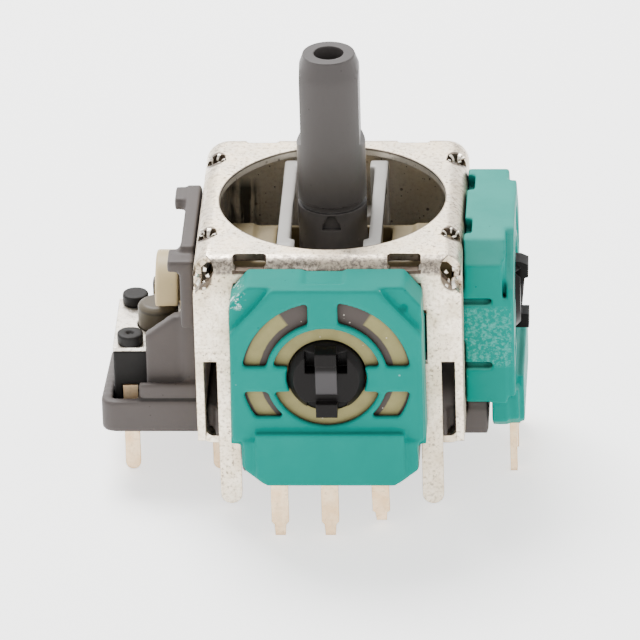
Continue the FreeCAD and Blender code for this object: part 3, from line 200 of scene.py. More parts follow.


# what a user changes on a moulding: its own colour and that of its clouds, worn edges with a painted highlight, painted
# shade in slots and corners, and dust with painted light on top faces; roughness and gloss; size and depth of the
# mould's grain in mm; how strong the worn, highlighted edges are and how much dust and painted light the top faces
# carry. Real mould grain is about
# 0.02 mm, too fine to show, and is drawn ten times as coarse
mouldings = {
    # glass-filled nylon, injection moulded: matt grey-brown with paler edges, scuffed and painted as a highlight
    "mouldedGreyNylon": {"colour": "#4d4745", "shade": "#413c3a", "edge": "#7d7672", "hollowShade": "#161413", "dustAndTopLight": "#645d5a",
                         "rough": 0.5, "gloss": 0.2, "grain": 0.15, "depth": 0.010, "edgeWearAndHighlight": 0.5, "dustAndTopLightShare": 0.2},
    # the same nylon, moulded smoother and handled: a soft sheen, dark where it enters the frame with grease and painted
    # shade
    "mouldedLeverNylon": {"colour": "#56504d", "shade": "#484341", "edge": "#77716d", "hollowShade": "#100f0e", "dustAndTopLight": "#7d7673",
                          "rough": 0.42, "gloss": 0.22, "grain": 0.17, "depth": 0.008, "edgeWearAndHighlight": 0.4, "dustAndTopLightShare": 0.0},
    # PBT, injection moulded: a deep even teal, nearly matt, that scuffs to a pale green; its edges also carry a painted
    # highlight
    "mouldedTealPbt": {"colour": "#047b70", "shade": "#036f65", "edge": "#57b9ad", "hollowShade": "#01302b", "dustAndTopLight": "#2b8f83",
                       "rough": 0.38, "gloss": 0.02, "grain": 0.22, "depth": 0.008, "edgeWearAndHighlight": 0.45, "dustAndTopLightShare": 0.25,
                       "speck": "#9fc9c3"},
    # acetal, injection moulded: smooth, waxy black
    "mouldedBlackAcetal": {"colour": "#151312", "shade": "#0f0d0d", "edge": "#4b4846", "hollowShade": "#060505", "dustAndTopLight": "#242120",
                           "rough": 0.3, "gloss": 0.09, "grain": 0.20, "depth": 0.006, "edgeWearAndHighlight": 0.3, "dustAndTopLightShare": 0.2},
    # acetal, injection moulded: light grey with a waxy sheen; painted shade and some grease darken the rails' outer
    # faces
    "mouldedLightAcetal": {"colour": "#a09d98", "shade": "#8b8782", "edge": "#bdbab5", "hollowShade": "#2e2a26", "dustAndTopLight": "#a8a5a1",
                           "rough": 0.36, "gloss": 0.3, "grain": 0.24, "depth": 0.006, "edgeWearAndHighlight": 0.5, "dustAndTopLightShare": 0.2},
    # acetal without pigment, injection moulded: cream with a waxy sheen
    "mouldedCreamAcetal": {"colour": "#c4b085", "shade": "#ad9970", "edge": "#d6c7a2", "hollowShade": "#3a2e1c", "dustAndTopLight": "#c7b891",
                           "rough": 0.42, "gloss": 0.25, "grain": 0.24, "depth": 0.006, "edgeWearAndHighlight": 0.4, "dustAndTopLightShare": 0.2},
    # nylon, injection moulded: dull olive brown
    "mouldedBrownNylon": {"colour": "#504839", "shade": "#3e382d", "edge": "#756b5b", "hollowShade": "#17140f", "dustAndTopLight": "#5c5447",
                          "rough": 0.45, "gloss": 0.25, "grain": 0.18, "depth": 0.008, "edgeWearAndHighlight": 0.4, "dustAndTopLightShare": 0.2},
    # nylon, injection moulded: matt black, grey where dust and painted light lie on its top faces
    "mouldedBlackNylon": {"colour": "#201e1d", "shade": "#181716", "edge": "#4a4744", "hollowShade": "#070606", "dustAndTopLight": "#2e2b29",
                          "rough": 0.5, "gloss": 0.14, "grain": 0.14, "depth": 0.010, "edgeWearAndHighlight": 0.4, "dustAndTopLightShare": 0.3},
}
# the side sensor's teal housing carries more dust and painted light on its top faces
mouldings["mouldedTealSide"] = {**mouldings["mouldedTealPbt"], "dustAndTopLight": "#459a8e", "dustAndTopLightShare": 0.7}

# marks, dust and painted light that all mouldings share: clouds to a mm; reach of the worn, highlighted edges and of
# the painted shade in slots and corners in mm, and the strength of that shade; size of the chips in the edges; thinnest
# dust and top light as a share of the thickest; roughness less and more than the moulding's own; size, share of cells,
# strength and colour of the pale and the dark specks
mouldingWearAndLight = {"clouds": 0.45, "edgeReach": 0.12, "hollowReach": 0.45, "hollowShare": 0.9, "chipSize": 0.35,
                "thinDustAndTopLight": 0.75, "smoother": 0.08, "rougher": 0.12,
                "paleSpecks": (0.45, 0.04, 0.3, "#8f8983"), "darkSpecks": (0.33, 0.07, 0.4, "#191716")}

# marks on single mouldings, some of them painted shade or a painted highlight: colour, share, and the box in mm that
# they lie in, each axis with its ends and their softness
marks = {
    "railSideShade": {"colour": "#191715", "share": 0.95, "aside": (2.3, 4.2, 0.1), "box": {"Y": (-6.0, 2.7, 0.2)}},
    "sillGapShadow": {"colour": "#0e0c0b", "share": 0.92,
                  "box": {"Z": (1.77, 1.92, 0.03), "X": (-10.3, -6.6, 0.15), "Y": (-4.3, -3.3, 0.05)}},
    "yokeShadeInside": {"dark": "#3c3220", "light": "#6f5e3d", "share": 0.95, "box": {"X": (-6.4, 6.4, 0.2)}},
    "barHighlight": {"colour": "#434142", "share": 0.9, "frontFace": (-9.74, -9.78), "sideFace": (9.39, 9.43),
                  "box": {"Z": (4.95, 6.55, 0.12)}},
    "buttonGrooveShade": {"colour": "#2a251c", "share": 0.6, "box": {"Z": (5.02, 5.14, 0.03)}},
    "gateScar": {"colour": "#6fc0b5", "share": 0.32, "size": 0.22, "box": {"Z": (4.2, 7.45, 0.12), "X": (6.6, 9.0, 0.1)}},
    "chippedCorner": {"colour": "#cfeae6", "share": 0.75, "size": 0.3,
                      "box": {"X": (-5.3, -4.1, 0.25), "Z": (9.7, 10.6, 0.15)}},
}
# painted shade and grease on the lever from the frame upwards: heights from 9.5 to 20.5 mm as 0 to 1, wavy by 1.6 mm,
# and the colour at each
leverShadeAndGrease = {"low": 9.5, "high": 20.5, "wave": 1.6, "share": 0.9,
              "stops": ((0.0, "#5c5754"), (0.16, "#4a4643"), (0.26, "#2f2c2a"), (0.36, "#37332f"), (0.55, "#433f3d"),
                        (1.0, "#454140"))}


def marksUnderDustAndTopLight(name, tree, point, clouds, body):
    parts = addNode(tree, "ShaderNodeSeparateXYZ", {}, {0: point})
    if name == "mouldedLeverNylon":
        # grease, rubbing and painted shade darken the lever where it enters the frame
        wave = addNode(tree, "ShaderNodeMath", {"operation": "MULTIPLY_ADD", 1: leverShadeAndGrease["wave"]},
                       {0: clouds, 2: parts.outputs["Z"]})
        level = addNode(tree, "ShaderNodeMapRange", {"From Min": leverShadeAndGrease["low"], "From Max": leverShadeAndGrease["high"]},
                        {"Value": wave.outputs["Value"]})
        ramp = addNode(tree, "ShaderNodeValToRGB", {"stops": leverShadeAndGrease["stops"]}, {"Fac": level.outputs["Result"]})
        body = coat(tree, body, ramp.outputs["Color"], [], leverShadeAndGrease["share"])
    if name == "mouldedLightAcetal":
        # painted shade, with some grease, on the outer faces of the two rails
        mark = marks["railSideShade"]
        aside = addNode(tree, "ShaderNodeMath", {"operation": "ABSOLUTE"}, {0: parts.outputs["X"]})
        facing = addNode(tree, "ShaderNodeNewGeometry")
        sideways = addNode(tree, "ShaderNodeVectorMath", {"operation": "ABSOLUTE"}, {0: facing.outputs["Normal"]})
        slope = addNode(tree, "ShaderNodeSeparateXYZ", {}, {0: sideways.outputs["Vector"]})
        railShadeFacing = addNode(tree, "ShaderNodeMapRange", {"From Min": 0.6, "From Max": 0.8}, {"Value": slope.outputs["X"]})
        rails = within(tree, aside.outputs["Value"], *mark["aside"])
        body = coat(tree, body, mark["colour"], [railShadeFacing.outputs["Result"], rails, zone(tree, parts, mark["box"])],
                    mark["share"])
    if name == "mouldedGreyNylon":
        # painted shadow in the gap between the guard's sill and the tray's rim
        mark = marks["sillGapShadow"]
        body = coat(tree, body, mark["colour"], [zone(tree, parts, mark["box"])], mark["share"])
    if name == "mouldedCreamAcetal":
        # inside the frame the cream yoke is painted darker and browner, as shade
        mark = marks["yokeShadeInside"]
        shadedCream = coat(tree, mark["dark"], mark["light"], [clouds])
        body = coat(tree, body, shadedCream, [zone(tree, parts, mark["box"])], mark["share"])
    if name == "mouldedBlackAcetal":
        # a painted highlight on the rotor's bar, by which the key turns it
        mark = marks["barHighlight"]
        proud = [addNode(tree, "ShaderNodeMapRange", {"From Min": start, "From Max": end},
                         {"Value": parts.outputs[axis]}).outputs["Result"]
                 for axis, (start, end) in (("Y", mark["frontFace"]), ("X", mark["sideFace"]))]
        body = coat(tree, body, mark["colour"], [joined(tree, proud, "MAXIMUM"), zone(tree, parts, mark["box"])],
                    mark["share"])
    return body


def marksOverEdges(name, tree, point, worn):
    parts = addNode(tree, "ShaderNodeSeparateXYZ", {}, {0: point})
    if name == "mouldedBrownNylon":
        # painted shade of a turned groove round the button, a fifth of the way down its dome
        mark = marks["buttonGrooveShade"]
        worn = coat(tree, worn, mark["colour"], [zone(tree, parts, mark["box"])], mark["share"])
    if name == "mouldedTealSide":
        # a rough band between the two slots, where the gate was broken off
        mark = marks["gateScar"]
        scuff = blotches(tree, point, mark["size"], (0.46, 0.62), mark["share"], 5.0, 0.75)
        worn = coat(tree, worn, mark["colour"], [zone(tree, parts, mark["box"]), scuff])
    if name == "mouldedTealPbt":
        # whitish chips where the left upper corner has knocked against something
        mark = marks["chippedCorner"]
        chipped = blotches(tree, point, mark["size"], (0.57, 0.61), mark["share"], 4.0, 0.8)
        worn = coat(tree, worn, mark["colour"], [zone(tree, parts, mark["box"]), chipped])
    return worn


def moulded(name):
    # moulded thermoplastic: even colour with slow cloudiness, a fine mould grain, scuffed edges with a painted
    # highlight, painted shade in slots and corners, and dust with painted light on its top faces
    look = mouldings[name]
    material, tree, point = newMaterial(name)
    cloud = addNode(tree, "ShaderNodeTexNoise", {"Scale": mouldingWearAndLight["clouds"], "Detail": 4.0, "Roughness": 0.6},
                    {"Vector": point})
    clouds = cloud.outputs["Fac"]
    body = marksUnderDustAndTopLight(name, tree, point, clouds, coat(tree, look["shade"], look["colour"], [clouds]))
    # dust and painted light on faces that look up
    veil = addNode(tree, "ShaderNodeMapRange", {"From Min": 0.3, "From Max": 0.6, "To Max": look["dustAndTopLightShare"],
                                                "To Min": mouldingWearAndLight["thinDustAndTopLight"] * look["dustAndTopLightShare"]}, {"Value": clouds})
    dustyLitTops = coat(tree, body, look["dustAndTopLight"], [upFacing(tree), veil.outputs["Result"]])
    # edges paler with wear and a painted highlight
    edgeWearAndLight, rounded = edgeMask(tree, mouldingWearAndLight["edgeReach"], look["edgeWearAndHighlight"])
    broken = blotches(tree, point, mouldingWearAndLight["chipSize"], (0.46, 0.64), 1.0, 3.0, 0.7)
    skin = marksOverEdges(name, tree, point, coat(tree, dustyLitTops, look["edge"], [edgeWearAndLight, broken]))
    for key in ("paleSpecks", "darkSpecks"):
        size, share, strength, colour = mouldingWearAndLight[key]
        if key == "paleSpecks":
            colour = look.get("speck", colour)
        skin = coat(tree, skin, colour, [specks(tree, point, size, share)], strength)
    # painted shade in slots and corners
    shadedHollows = paintedShadeMask(tree, mouldingWearAndLight["hollowReach"], mouldingWearAndLight["hollowShare"])
    skin = coat(tree, skin, look["hollowShade"], [shadedHollows])
    grain = addNode(tree, "ShaderNodeTexNoise", {"Scale": 1 / look["grain"], "Detail": 2.0}, {"Vector": point})
    bump = addNode(tree, "ShaderNodeBump", {"Strength": 0.5, "Distance": look["depth"] * mm},
                   {"Height": grain.outputs["Fac"], "Normal": rounded})
    sheen = addNode(tree, "ShaderNodeMapRange", {"To Min": look["rough"] - mouldingWearAndLight["smoother"],
                                                 "To Max": look["rough"] + mouldingWearAndLight["rougher"]}, {"Value": clouds})
    closeMaterial(tree, {"IOR": 1.49, "Specular IOR Level": look["gloss"]},
                  {"Base Color": skin, "Roughness": sheen.outputs["Result"], "Normal": bump.outputs["Normal"]})
    return material


# what a user changes on a metal: its own colour, duller patches, mottling, brown stains, also painted on the edges as a
# dark reflection, and painted shade in slots and corners; roughness; how strong the stains are; size of the patches in
# mm; how metallic it is, less than 1 where a film of oxide and dirt lies over it
metals = {
    # tin-plated steel sheet, pressed and bent: bright and warm, mottled, with brown pits where the plating has cracked
    "tinPlatedSteel": {"colour": "#fff2dd", "shade": "#e6d6bc", "mottle": "#cdb798", "stain": "#43362b", "hollowShade": "#2b211a",
                       "rough": 0.3, "stains": 0.85, "patch": 1.5, "metallic": 0.8},
    # tin-plated pins, tinned again in solder: pale copper, almost matt
    "tinPlatedPin": {"colour": "#ffe2ba", "shade": "#f3cd9d", "mottle": "#f0cfa4", "stain": "#84694a", "hollowShade": "#5d4429",
                     "rough": 0.35, "stains": 0.35, "patch": 0.7, "metallic": 0.35},
    # stainless strip, rolled and pressed: bright, evenly grey-white
    "rolledStainless": {"colour": "#fff8ec", "shade": "#d9d0c2", "mottle": "#d6cab8", "stain": "#574f45", "hollowShade": "#2b2620",
                        "rough": 0.26, "stains": 0.6, "patch": 0.9, "metallic": 0.9},
    # phosphor bronze strip, rolled: warm yellow, clean
    "springBronze": {"colour": "#d8b078", "shade": "#b58c55", "mottle": "#c09661", "stain": "#6a4f2c", "hollowShade": "#2f2110",
                     "rough": 0.28, "stains": 0.3, "patch": 0.8, "metallic": 1.0},
    # spring steel wire, drawn: grey with a clear shine
    "springSteel": {"colour": "#c9c6c1", "shade": "#a09c96", "mottle": "#b0aca6", "stain": "#5b5650", "hollowShade": "#22201d",
                    "rough": 0.25, "stains": 0.3, "patch": 0.6, "metallic": 1.0},
}

# marks and painted light that all metals share: size of the pits and of the areas they crowd in, in mm; reach and
# strength of the painted dark reflection on the edges and of the painted shade in slots and corners; height of the
# ripples and of the pits in mm;
# how much rougher the duller patches are
metalWearAndLight = {"pits": 0.2, "areas": 1.1, "edgeReach": 0.06, "edgeShare": 0.6, "hollowReach": 0.35, "hollowShare": 0.85,
             "ripple": 0.02, "pitDepth": 0.012, "rougher": 0.2}

# marks on the frame, as those on the mouldings, several of them painted shade or a painted reflection; the painted
# shade of the torn holes lies inside stretched spheres, at a centre in mm from the middle of the plate and with so many
# radii to a mm along each axis
frameMarks = {
    "bends": {"colour": "#776e66", "frontOf": -5.9, "fullAt": -6.4, "behind": 0.35},
    "innerWallShade": {"colour": "#e2dccf", "share": 0.8},
    "rearWallReflection": {"colour": "#15110d", "share": 0.85, "runs": (2.6, 0.3, 0.35),
                 "box": {"X": (-5.75, -4.2, 0.2), "Z": (5.0, 8.7, 0.3), "Y": (5.0, 7.0, 0.1)}},
    "slotEdges": {"colour": "#3a2c22", "share": 0.92, "aside": (2.97, 4.68, 0.02), "faces": (-1.1, -0.6, 0.05),
                  "lip": {"Z": (10.5, 10.7, 0.03), "Y": (-7.1, -6.3, 0.05)}, "sheared": {"Y": (-6.3, -6.0, 0.02)}},
    "rim": {"colour": "#453a31", "share": 0.8, "radius": (5.5, 5.72, 0.02), "box": {"Z": (11.1, 11.3, 0.03)}},
    "tornHoleShade": {"colour": "#3d2f25", "share": 0.9, "middle": (0, 0.3, 0), "ragged": 0.35,
                  "spots": (((6.08, 4.1, 11.1), (1.9, 1.35, 1.2)), ((6.2, 7.3, 10.35), (1.75, 1.5, 1.25)))},
    "specks": ((0.30, 0.5, 0.95, "#43362b"), (0.62, 0.4, 0.8, "#6b5d50")),  # size in mm, share of cells, strength, colour
}


def markFrame(tree, point, pits, spread, thick, stained):
    parts = addNode(tree, "ShaderNodeSeparateXYZ", {}, {0: point})
    facing = addNode(tree, "ShaderNodeNewGeometry")
    turn = addNode(tree, "ShaderNodeSeparateXYZ", {}, {0: facing.outputs["Normal"]})
    # bends: cracked plating, dark specks crowd where the face turns from the top to a wall; under them an even painted
    # shade, strongest at the front, dulls the bend's reflection
    mark = frameMarks["bends"]
    bend = addNode(tree, "ShaderNodeValToRGB", {"stops": ((0.08, "#000000"), (0.3, "#ffffff"), (0.985, "#ffffff"),
                                                         (0.9995, "#000000"))}, {"Fac": turn.outputs["Z"]})
    crack = addNode(tree, "ShaderNodeMapRange", {"From Min": 0.44, "From Max": 0.60, "To Min": 0.5, "To Max": 1.0},
                    {"Value": pits})
    front = addNode(tree, "ShaderNodeMapRange", {"From Min": mark["frontOf"], "From Max": mark["fullAt"],
                                                 "To Min": mark["behind"]}, {"Value": parts.outputs["Y"]})
    stained = coat(tree, stained, mark["colour"],
                   [crack.outputs["Result"], bend.outputs["Color"], front.outputs["Result"]])
    # walls that face the lever's axis are painted greyer and a little darker, as shade, and a painted dark reflection
    # lies on the left of the rear wall
    inside = inwardFacing(tree, point)
    mark = frameMarks["innerWallShade"]
    stained = coat(tree, stained, mark["colour"], [inside], mark["share"])
    # a painted dark reflection on the left of the rear wall
    mark = frameMarks["rearWallReflection"]
    streak = addNode(tree, "ShaderNodeVectorMath", {"operation": "MULTIPLY", 1: mark["runs"]}, {0: point})
    darkReflection = blotches(tree, streak.outputs["Vector"], 1.0, (0.64, 0.5), mark["share"], 3.0)
    stained = coat(tree, stained, mark["colour"], [darkReflection, zone(tree, parts, mark["box"]), inside])
    # the two slots in the front bend are dark round their edges
    mark = frameMarks["slotEdges"]
    aside = addNode(tree, "ShaderNodeMath", {"operation": "ABSOLUTE"}, {0: parts.outputs["X"]})
    sheared = joined(tree, [zone(tree, parts, mark["sheared"]), within(tree, turn.outputs["Y"], *mark["faces"])])
    slotEdge = joined(tree, [zone(tree, parts, mark["lip"]), sheared], "MAXIMUM")
    stained = coat(tree, stained, mark["colour"], [slotEdge, within(tree, aside.outputs["Value"], *mark["aside"])],
                   mark["share"])
    # the sheared rim of the round opening is painted as a thin dark line of shade
    mark = frameMarks["rim"]
    ring = addNode(tree, "ShaderNodeVectorMath", {"operation": "MULTIPLY", 1: (1, 1, 0)}, {0: point})
    radius = addNode(tree, "ShaderNodeVectorMath", {"operation": "LENGTH"}, {0: ring.outputs["Vector"]})
    stained = coat(tree, stained, mark["colour"],
                   [within(tree, radius.outputs["Value"], *mark["radius"]), zone(tree, parts, mark["box"])], mark["share"])
    # painted shade over the four torn, pierced holes and the two reliefs at the front corners, standing in for their
    # depth
    mark = frameMarks["tornHoleShade"]
    lifted = addNode(tree, "ShaderNodeVectorMath", {"operation": "SUBTRACT", 1: mark["middle"]}, {0: point})
    mirrored = addNode(tree, "ShaderNodeVectorMath", {"operation": "ABSOLUTE"}, {0: lifted.outputs["Vector"]})
    holeShadeParts = []
    for centre, stretch in mark["spots"]:
        local = addNode(tree, "ShaderNodeVectorMath", {"operation": "SUBTRACT", 1: centre},
                        {0: mirrored.outputs["Vector"]})
        scaled = addNode(tree, "ShaderNodeVectorMath", {"operation": "MULTIPLY", 1: stretch},
                         {0: local.outputs["Vector"]})
        away = addNode(tree, "ShaderNodeVectorMath", {"operation": "LENGTH"}, {0: scaled.outputs["Vector"]})
        ragged = addNode(tree, "ShaderNodeMath", {"operation": "MULTIPLY_ADD", 1: mark["ragged"]},
                         {0: spread, 2: away.outputs["Value"]})
        near = addNode(tree, "ShaderNodeMapRange", {"From Min": 1.22, "From Max": 1.08, "To Max": mark["share"]},
                       {"Value": ragged.outputs["Value"]})
        holeShadeParts.append(near.outputs["Result"])
    stained = coat(tree, stained, mark["colour"], [joined(tree, holeShadeParts, "MAXIMUM")])
    for size, share, strength, colour in frameMarks["specks"]:
        stained = coat(tree, stained, colour, [specks(tree, point, size, share), thick], strength)
    return stained


def metal(name):
    # plated or rolled sheet: bright, clouded in soft patches, with brown stains and fine dark pits that crowd on the
    # bends, edges painted dark as a reflection and painted shade in slots and corners; the pits are drawn several times
    # as large as they are, so that they show
    look = metals[name]
    material, tree, point = newMaterial(name)
    cloud = addNode(tree, "ShaderNodeTexNoise", {"Scale": 1 / look["patch"], "Detail": 6.0, "Roughness": 0.62},
                    {"Vector": point})
    patch = addNode(tree, "ShaderNodeMapRange", {"From Min": 0.38, "From Max": 0.62}, {"Value": cloud.outputs["Fac"]})
    body = coat(tree, look["shade"], look["colour"], [patch.outputs["Result"]])
    pitting = addNode(tree, "ShaderNodeTexNoise", {"Scale": 1 / metalWearAndLight["pits"], "Detail": 3.0, "Roughness": 0.7},
                      {"Vector": point})
    pits = pitting.outputs["Fac"]
    pit = addNode(tree, "ShaderNodeMapRange", {"From Min": 0.56, "From Max": 0.66, "To Max": look["stains"]},
                  {"Value": pits})
    spread = addNode(tree, "ShaderNodeTexNoise", {"Scale": 1 / metalWearAndLight["areas"], "Detail": 2.0},
                     {"Vector": point}).outputs["Fac"]
    thick = addNode(tree, "ShaderNodeMapRange", {"From Min": 0.40, "From Max": 0.62, "To Min": 0.3, "To Max": 0.95},
                    {"Value": spread}).outputs["Result"]
    mottle = addNode(tree, "ShaderNodeMapRange", {"From Min": 0.45, "From Max": 0.58, "To Max": 0.5}, {"Value": pits})
    stained = coat(tree, body, look["mottle"], [mottle.outputs["Result"]])
    stained = coat(tree, stained, look["stain"], [pit.outputs["Result"], thick])
    if name == "tinPlatedSteel":
        stained = markFrame(tree, point, pits, spread, thick, stained)
    # edges painted dark in the stain's colour, as a painted dark reflection
    edgeWearAndLight, rounded = edgeMask(tree, metalWearAndLight["edgeReach"], metalWearAndLight["edgeShare"])
    stained = coat(tree, stained, look["stain"], [edgeWearAndLight])
    # painted shade in slots and corners
    shadedHollows = paintedShadeMask(tree, metalWearAndLight["hollowReach"], metalWearAndLight["hollowShare"])
    shaded = coat(tree, stained, look["hollowShade"], [shadedHollows])
    rough = addNode(tree, "ShaderNodeMapRange", {"To Min": look["rough"] + metalWearAndLight["rougher"], "To Max": look["rough"]},
                    {"Value": patch.outputs["Result"]})
    bump = addNode(tree, "ShaderNodeBump", {"Strength": 0.5, "Distance": metalWearAndLight["ripple"] * mm},
                   {"Height": cloud.outputs["Fac"], "Normal": rounded})
    fine = addNode(tree, "ShaderNodeBump", {"Strength": 0.35, "Distance": metalWearAndLight["pitDepth"] * mm},
                   {"Height": pits, "Normal": bump.outputs["Normal"]})
    closeMaterial(tree, {"Metallic": look["metallic"]},
                  {"Base Color": shaded, "Roughness": rough.outputs["Result"], "Normal": fine.outputs["Normal"]})
    return material


# printed tracks: radii in mm from the rotor's axis, the half angle of the conducting patch in degrees, how far the
# ink's edge wanders and over which length; size of the paper's fibres; size, share of cells and strength of the dust;
# reach of the painted shade in slots and corners
tracks = {"board": "#8c8559", "boardShade": "#77704b", "carbon": "#47403d", "dust": "#cfc8bb", "hollowShade": "#241f16",
          "hub": 2.85, "inner": 3.36, "outer": 4.12, "patchAngle": 34.0, "wander": 0.06, "edge": 0.25, "fibre": 0.5,
          "dustSize": 0.3, "dustShare": 0.12, "dustStrength": 0.6, "hollowReach": 0.6, "hollowShare": 0.95,
          "inkHeight": 0.006}


def printedWafer(name, centre):
    # phenolic paper, khaki and faintly fibrous, with matt screen-printed carbon round the rotor
    material, tree, point = newMaterial(name)
    local = addNode(tree, "ShaderNodeVectorMath", {"operation": "SUBTRACT", 1: centre}, {0: point})
    parts = addNode(tree, "ShaderNodeSeparateXYZ", {}, {0: local.outputs["Vector"]})
    across = parts.outputs["X" if abs(centre[1]) > 1 else "Y"]
    plane = addNode(tree, "ShaderNodeCombineXYZ", {}, {0: across, 1: parts.outputs["Z"]})
    radius = addNode(tree, "ShaderNodeVectorMath", {"operation": "LENGTH"}, {0: plane.outputs["Vector"]})
    sideways = addNode(tree, "ShaderNodeMath", {"operation": "ABSOLUTE"}, {0: across})
    # angle from straight up is the arc tangent of the sideways and the upward distance
    angle = addNode(tree, "ShaderNodeMath", {"operation": "ARCTAN2"},
                    {0: sideways.outputs["Value"], 1: parts.outputs["Z"]})
    ragged = addNode(tree, "ShaderNodeTexNoise", {"Scale": 1 / tracks["edge"], "Detail": 2.0}, {"Vector": point})
    wobble = addNode(tree, "ShaderNodeMath", {"operation": "MULTIPLY_ADD", 1: tracks["wander"]},
                     {0: ragged.outputs["Fac"], 2: radius.outputs["Value"]})
    # ink lies inside the inner radius, beyond the outer one and on the patch at the top, and never under the hub
    wedge = math.radians(tracks["patchAngle"] + 1), math.radians(tracks["patchAngle"] - 1)
    inked = [addNode(tree, "ShaderNodeMapRange", {"From Min": start, "From Max": end}, {"Value": value}).outputs["Result"]
             for value, start, end in ((wobble.outputs["Value"], tracks["inner"] + 0.06, tracks["inner"]),
                                       (angle.outputs["Value"], *wedge),
                                       (wobble.outputs["Value"], tracks["outer"] - 0.02, tracks["outer"] + 0.05))]
    beyond = addNode(tree, "ShaderNodeMapRange", {"From Min": tracks["hub"], "From Max": tracks["hub"] + 0.05},
                     {"Value": radius.outputs["Value"]})
    fibre = addNode(tree, "ShaderNodeTexNoise", {"Scale": 1 / tracks["fibre"], "Detail": 5.0, "Roughness": 0.65},
                    {"Vector": point})
    paper = coat(tree, tracks["boardShade"], tracks["board"], [fibre.outputs["Fac"]])
    printed = coat(tree, paper, tracks["carbon"], [joined(tree, inked, "MAXIMUM"), beyond.outputs["Result"]])
    dust = specks(tree, point, tracks["dustSize"], tracks["dustShare"])
    dotted = coat(tree, printed, tracks["dust"], [dust], tracks["dustStrength"])
    # painted shade in the windows' slots and corners
    shadedHollows = paintedShadeMask(tree, tracks["hollowReach"], tracks["hollowShare"])
    dotted = coat(tree, dotted, tracks["hollowShade"], [shadedHollows])
    grain = addNode(tree, "ShaderNodeBump", {"Strength": 0.4, "Distance": tracks["inkHeight"] * mm},
                    {"Height": ragged.outputs["Fac"]})
    closeMaterial(tree, {"Roughness": 0.55, "Specular IOR Level": 0.12},
                  {"Base Color": dotted, "Normal": grain.outputs["Normal"]})
    return material


finishes = {name: moulded(name) for name in mouldings}
finishes.update({name: metal(name) for name in metals})
finishes["printedPaperFront"] = printedWafer("printedPaperFront", (0, -9.1, 6))
finishes["printedPaperSide"] = printedWafer("printedPaperSide", (8.75, 0, 6))
print("materials mixed")

# fine mouldings are remade from small cubes and smoothed, so that their edges and inner corners run round: cube in mm, passes
softened = {"front_pot_housing": (0.085, 5), "side_pot_housing": (0.085, 5), "upper_yoke": (0.09, 7),
            "lower_yoke": (0.10, 5), "base": (0.12, 3), "switch_body": (0.07, 3)}
# plain bevels in mm on the coarser ones
rounding = {"switch_button": 0.08, "front_rotor": 0.03, "side_rotor": 0.03}
# springs that give when the stick is pressed: the joint they give to, height of their fixed end and travel in mm
springs = {"return_spring": ("seat_travel", 1.0, 0.16), "switch_dome": ("button_travel", 2.98, 0.33)}
# the pin that is bent back below the board's surface: how far back for each mm down, and how much of its depth is left
bentPin = {"node": "front_terminal_3", "back": 0.42, "depth": 0.93}
# a CAD copy's points and short edges closer than these mm are merged, and edges sharper than the crease stay sharp
cleaning = {"join": 0.002, "sliver": 0.001, "flat": math.radians(1), "crease": math.radians(30),
            "bevel": math.radians(35)}


def soften(piece, cube, passes):
    remade = piece.modifiers.new("cubes", "REMESH")
    remade.mode = "VOXEL"
    remade.voxel_size = cube * mm
    remade.adaptivity = 0
    smoothed = piece.modifiers.new("smoothed", "SMOOTH")
    smoothed.factor = 0.5
    smoothed.iterations = passes
    bpy.context.view_layer.update()
    evaluated = piece.evaluated_get(bpy.context.evaluated_depsgraph_get())
    mesh = bpy.data.meshes.new_from_object(evaluated)
    mesh.name = piece.name
    piece.modifiers.clear()
    piece.data = mesh
    mesh.polygons.foreach_set("use_smooth", np.ones(len(mesh.polygons), dtype=bool))


def bendBack(mesh):
    # each point under the board's surface moves back in proportion to its depth, and up by a small part of it
    points = np.empty(len(mesh.vertices) * 3, dtype=np.float32)
    mesh.vertices.foreach_get("co", points)
    points = points.reshape(-1, 3)
    hanging = points[:, 2] < 0
    points[hanging, 1] -= bentPin["back"] * points[hanging, 2]
    points[hanging, 2] *= bentPin["depth"]
    mesh.vertices.foreach_set("co", points.ravel())


def finishedCopy(node, body, material):
    # the CAD shape with its loose triangles joined, flats merged on the pieces that get a bevel, and sharp edges kept
    mesh = frame["nodes"][node].data.copy()
    mesh.name = "fine_" + node
    if node == bentPin["node"]:
        bendBack(mesh)
    shape = bmesh.new()
    shape.from_mesh(mesh)
    bmesh.ops.remove_doubles(shape, verts=shape.verts, dist=cleaning["join"] * mm)
    bmesh.ops.dissolve_degenerate(shape, edges=shape.edges, dist=cleaning["sliver"] * mm)
    if node in rounding:
        bmesh.ops.dissolve_limit(shape, angle_limit=cleaning["flat"], verts=shape.verts, edges=shape.edges)
    for face in shape.faces:
        face.smooth = True
    for edge in shape.edges:
        edge.smooth = len(edge.link_faces) == 2 and edge.calc_face_angle(0.0) < cleaning["crease"]
    shape.to_mesh(mesh)
    shape.free()
    mesh.materials.clear()
    mesh.materials.append(material)
    piece = bpy.data.objects.new(mesh.name, mesh)
    bpy.context.scene.collection.objects.link(piece)
    if node in rounding:
        bevel = piece.modifiers.new("rounding", "BEVEL")
        bevel.width = rounding[node] * mm
        bevel.segments = 2
        bevel.limit_method = "ANGLE"
        bevel.angle_limit = cleaning["bevel"]
        bevel.use_clamp_overlap = True
        bevel.harden_normals = False
    if node in softened:
        soften(piece, *softened[node])
    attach(piece, body)
    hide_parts(node)
    if node in springs:
        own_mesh(piece)


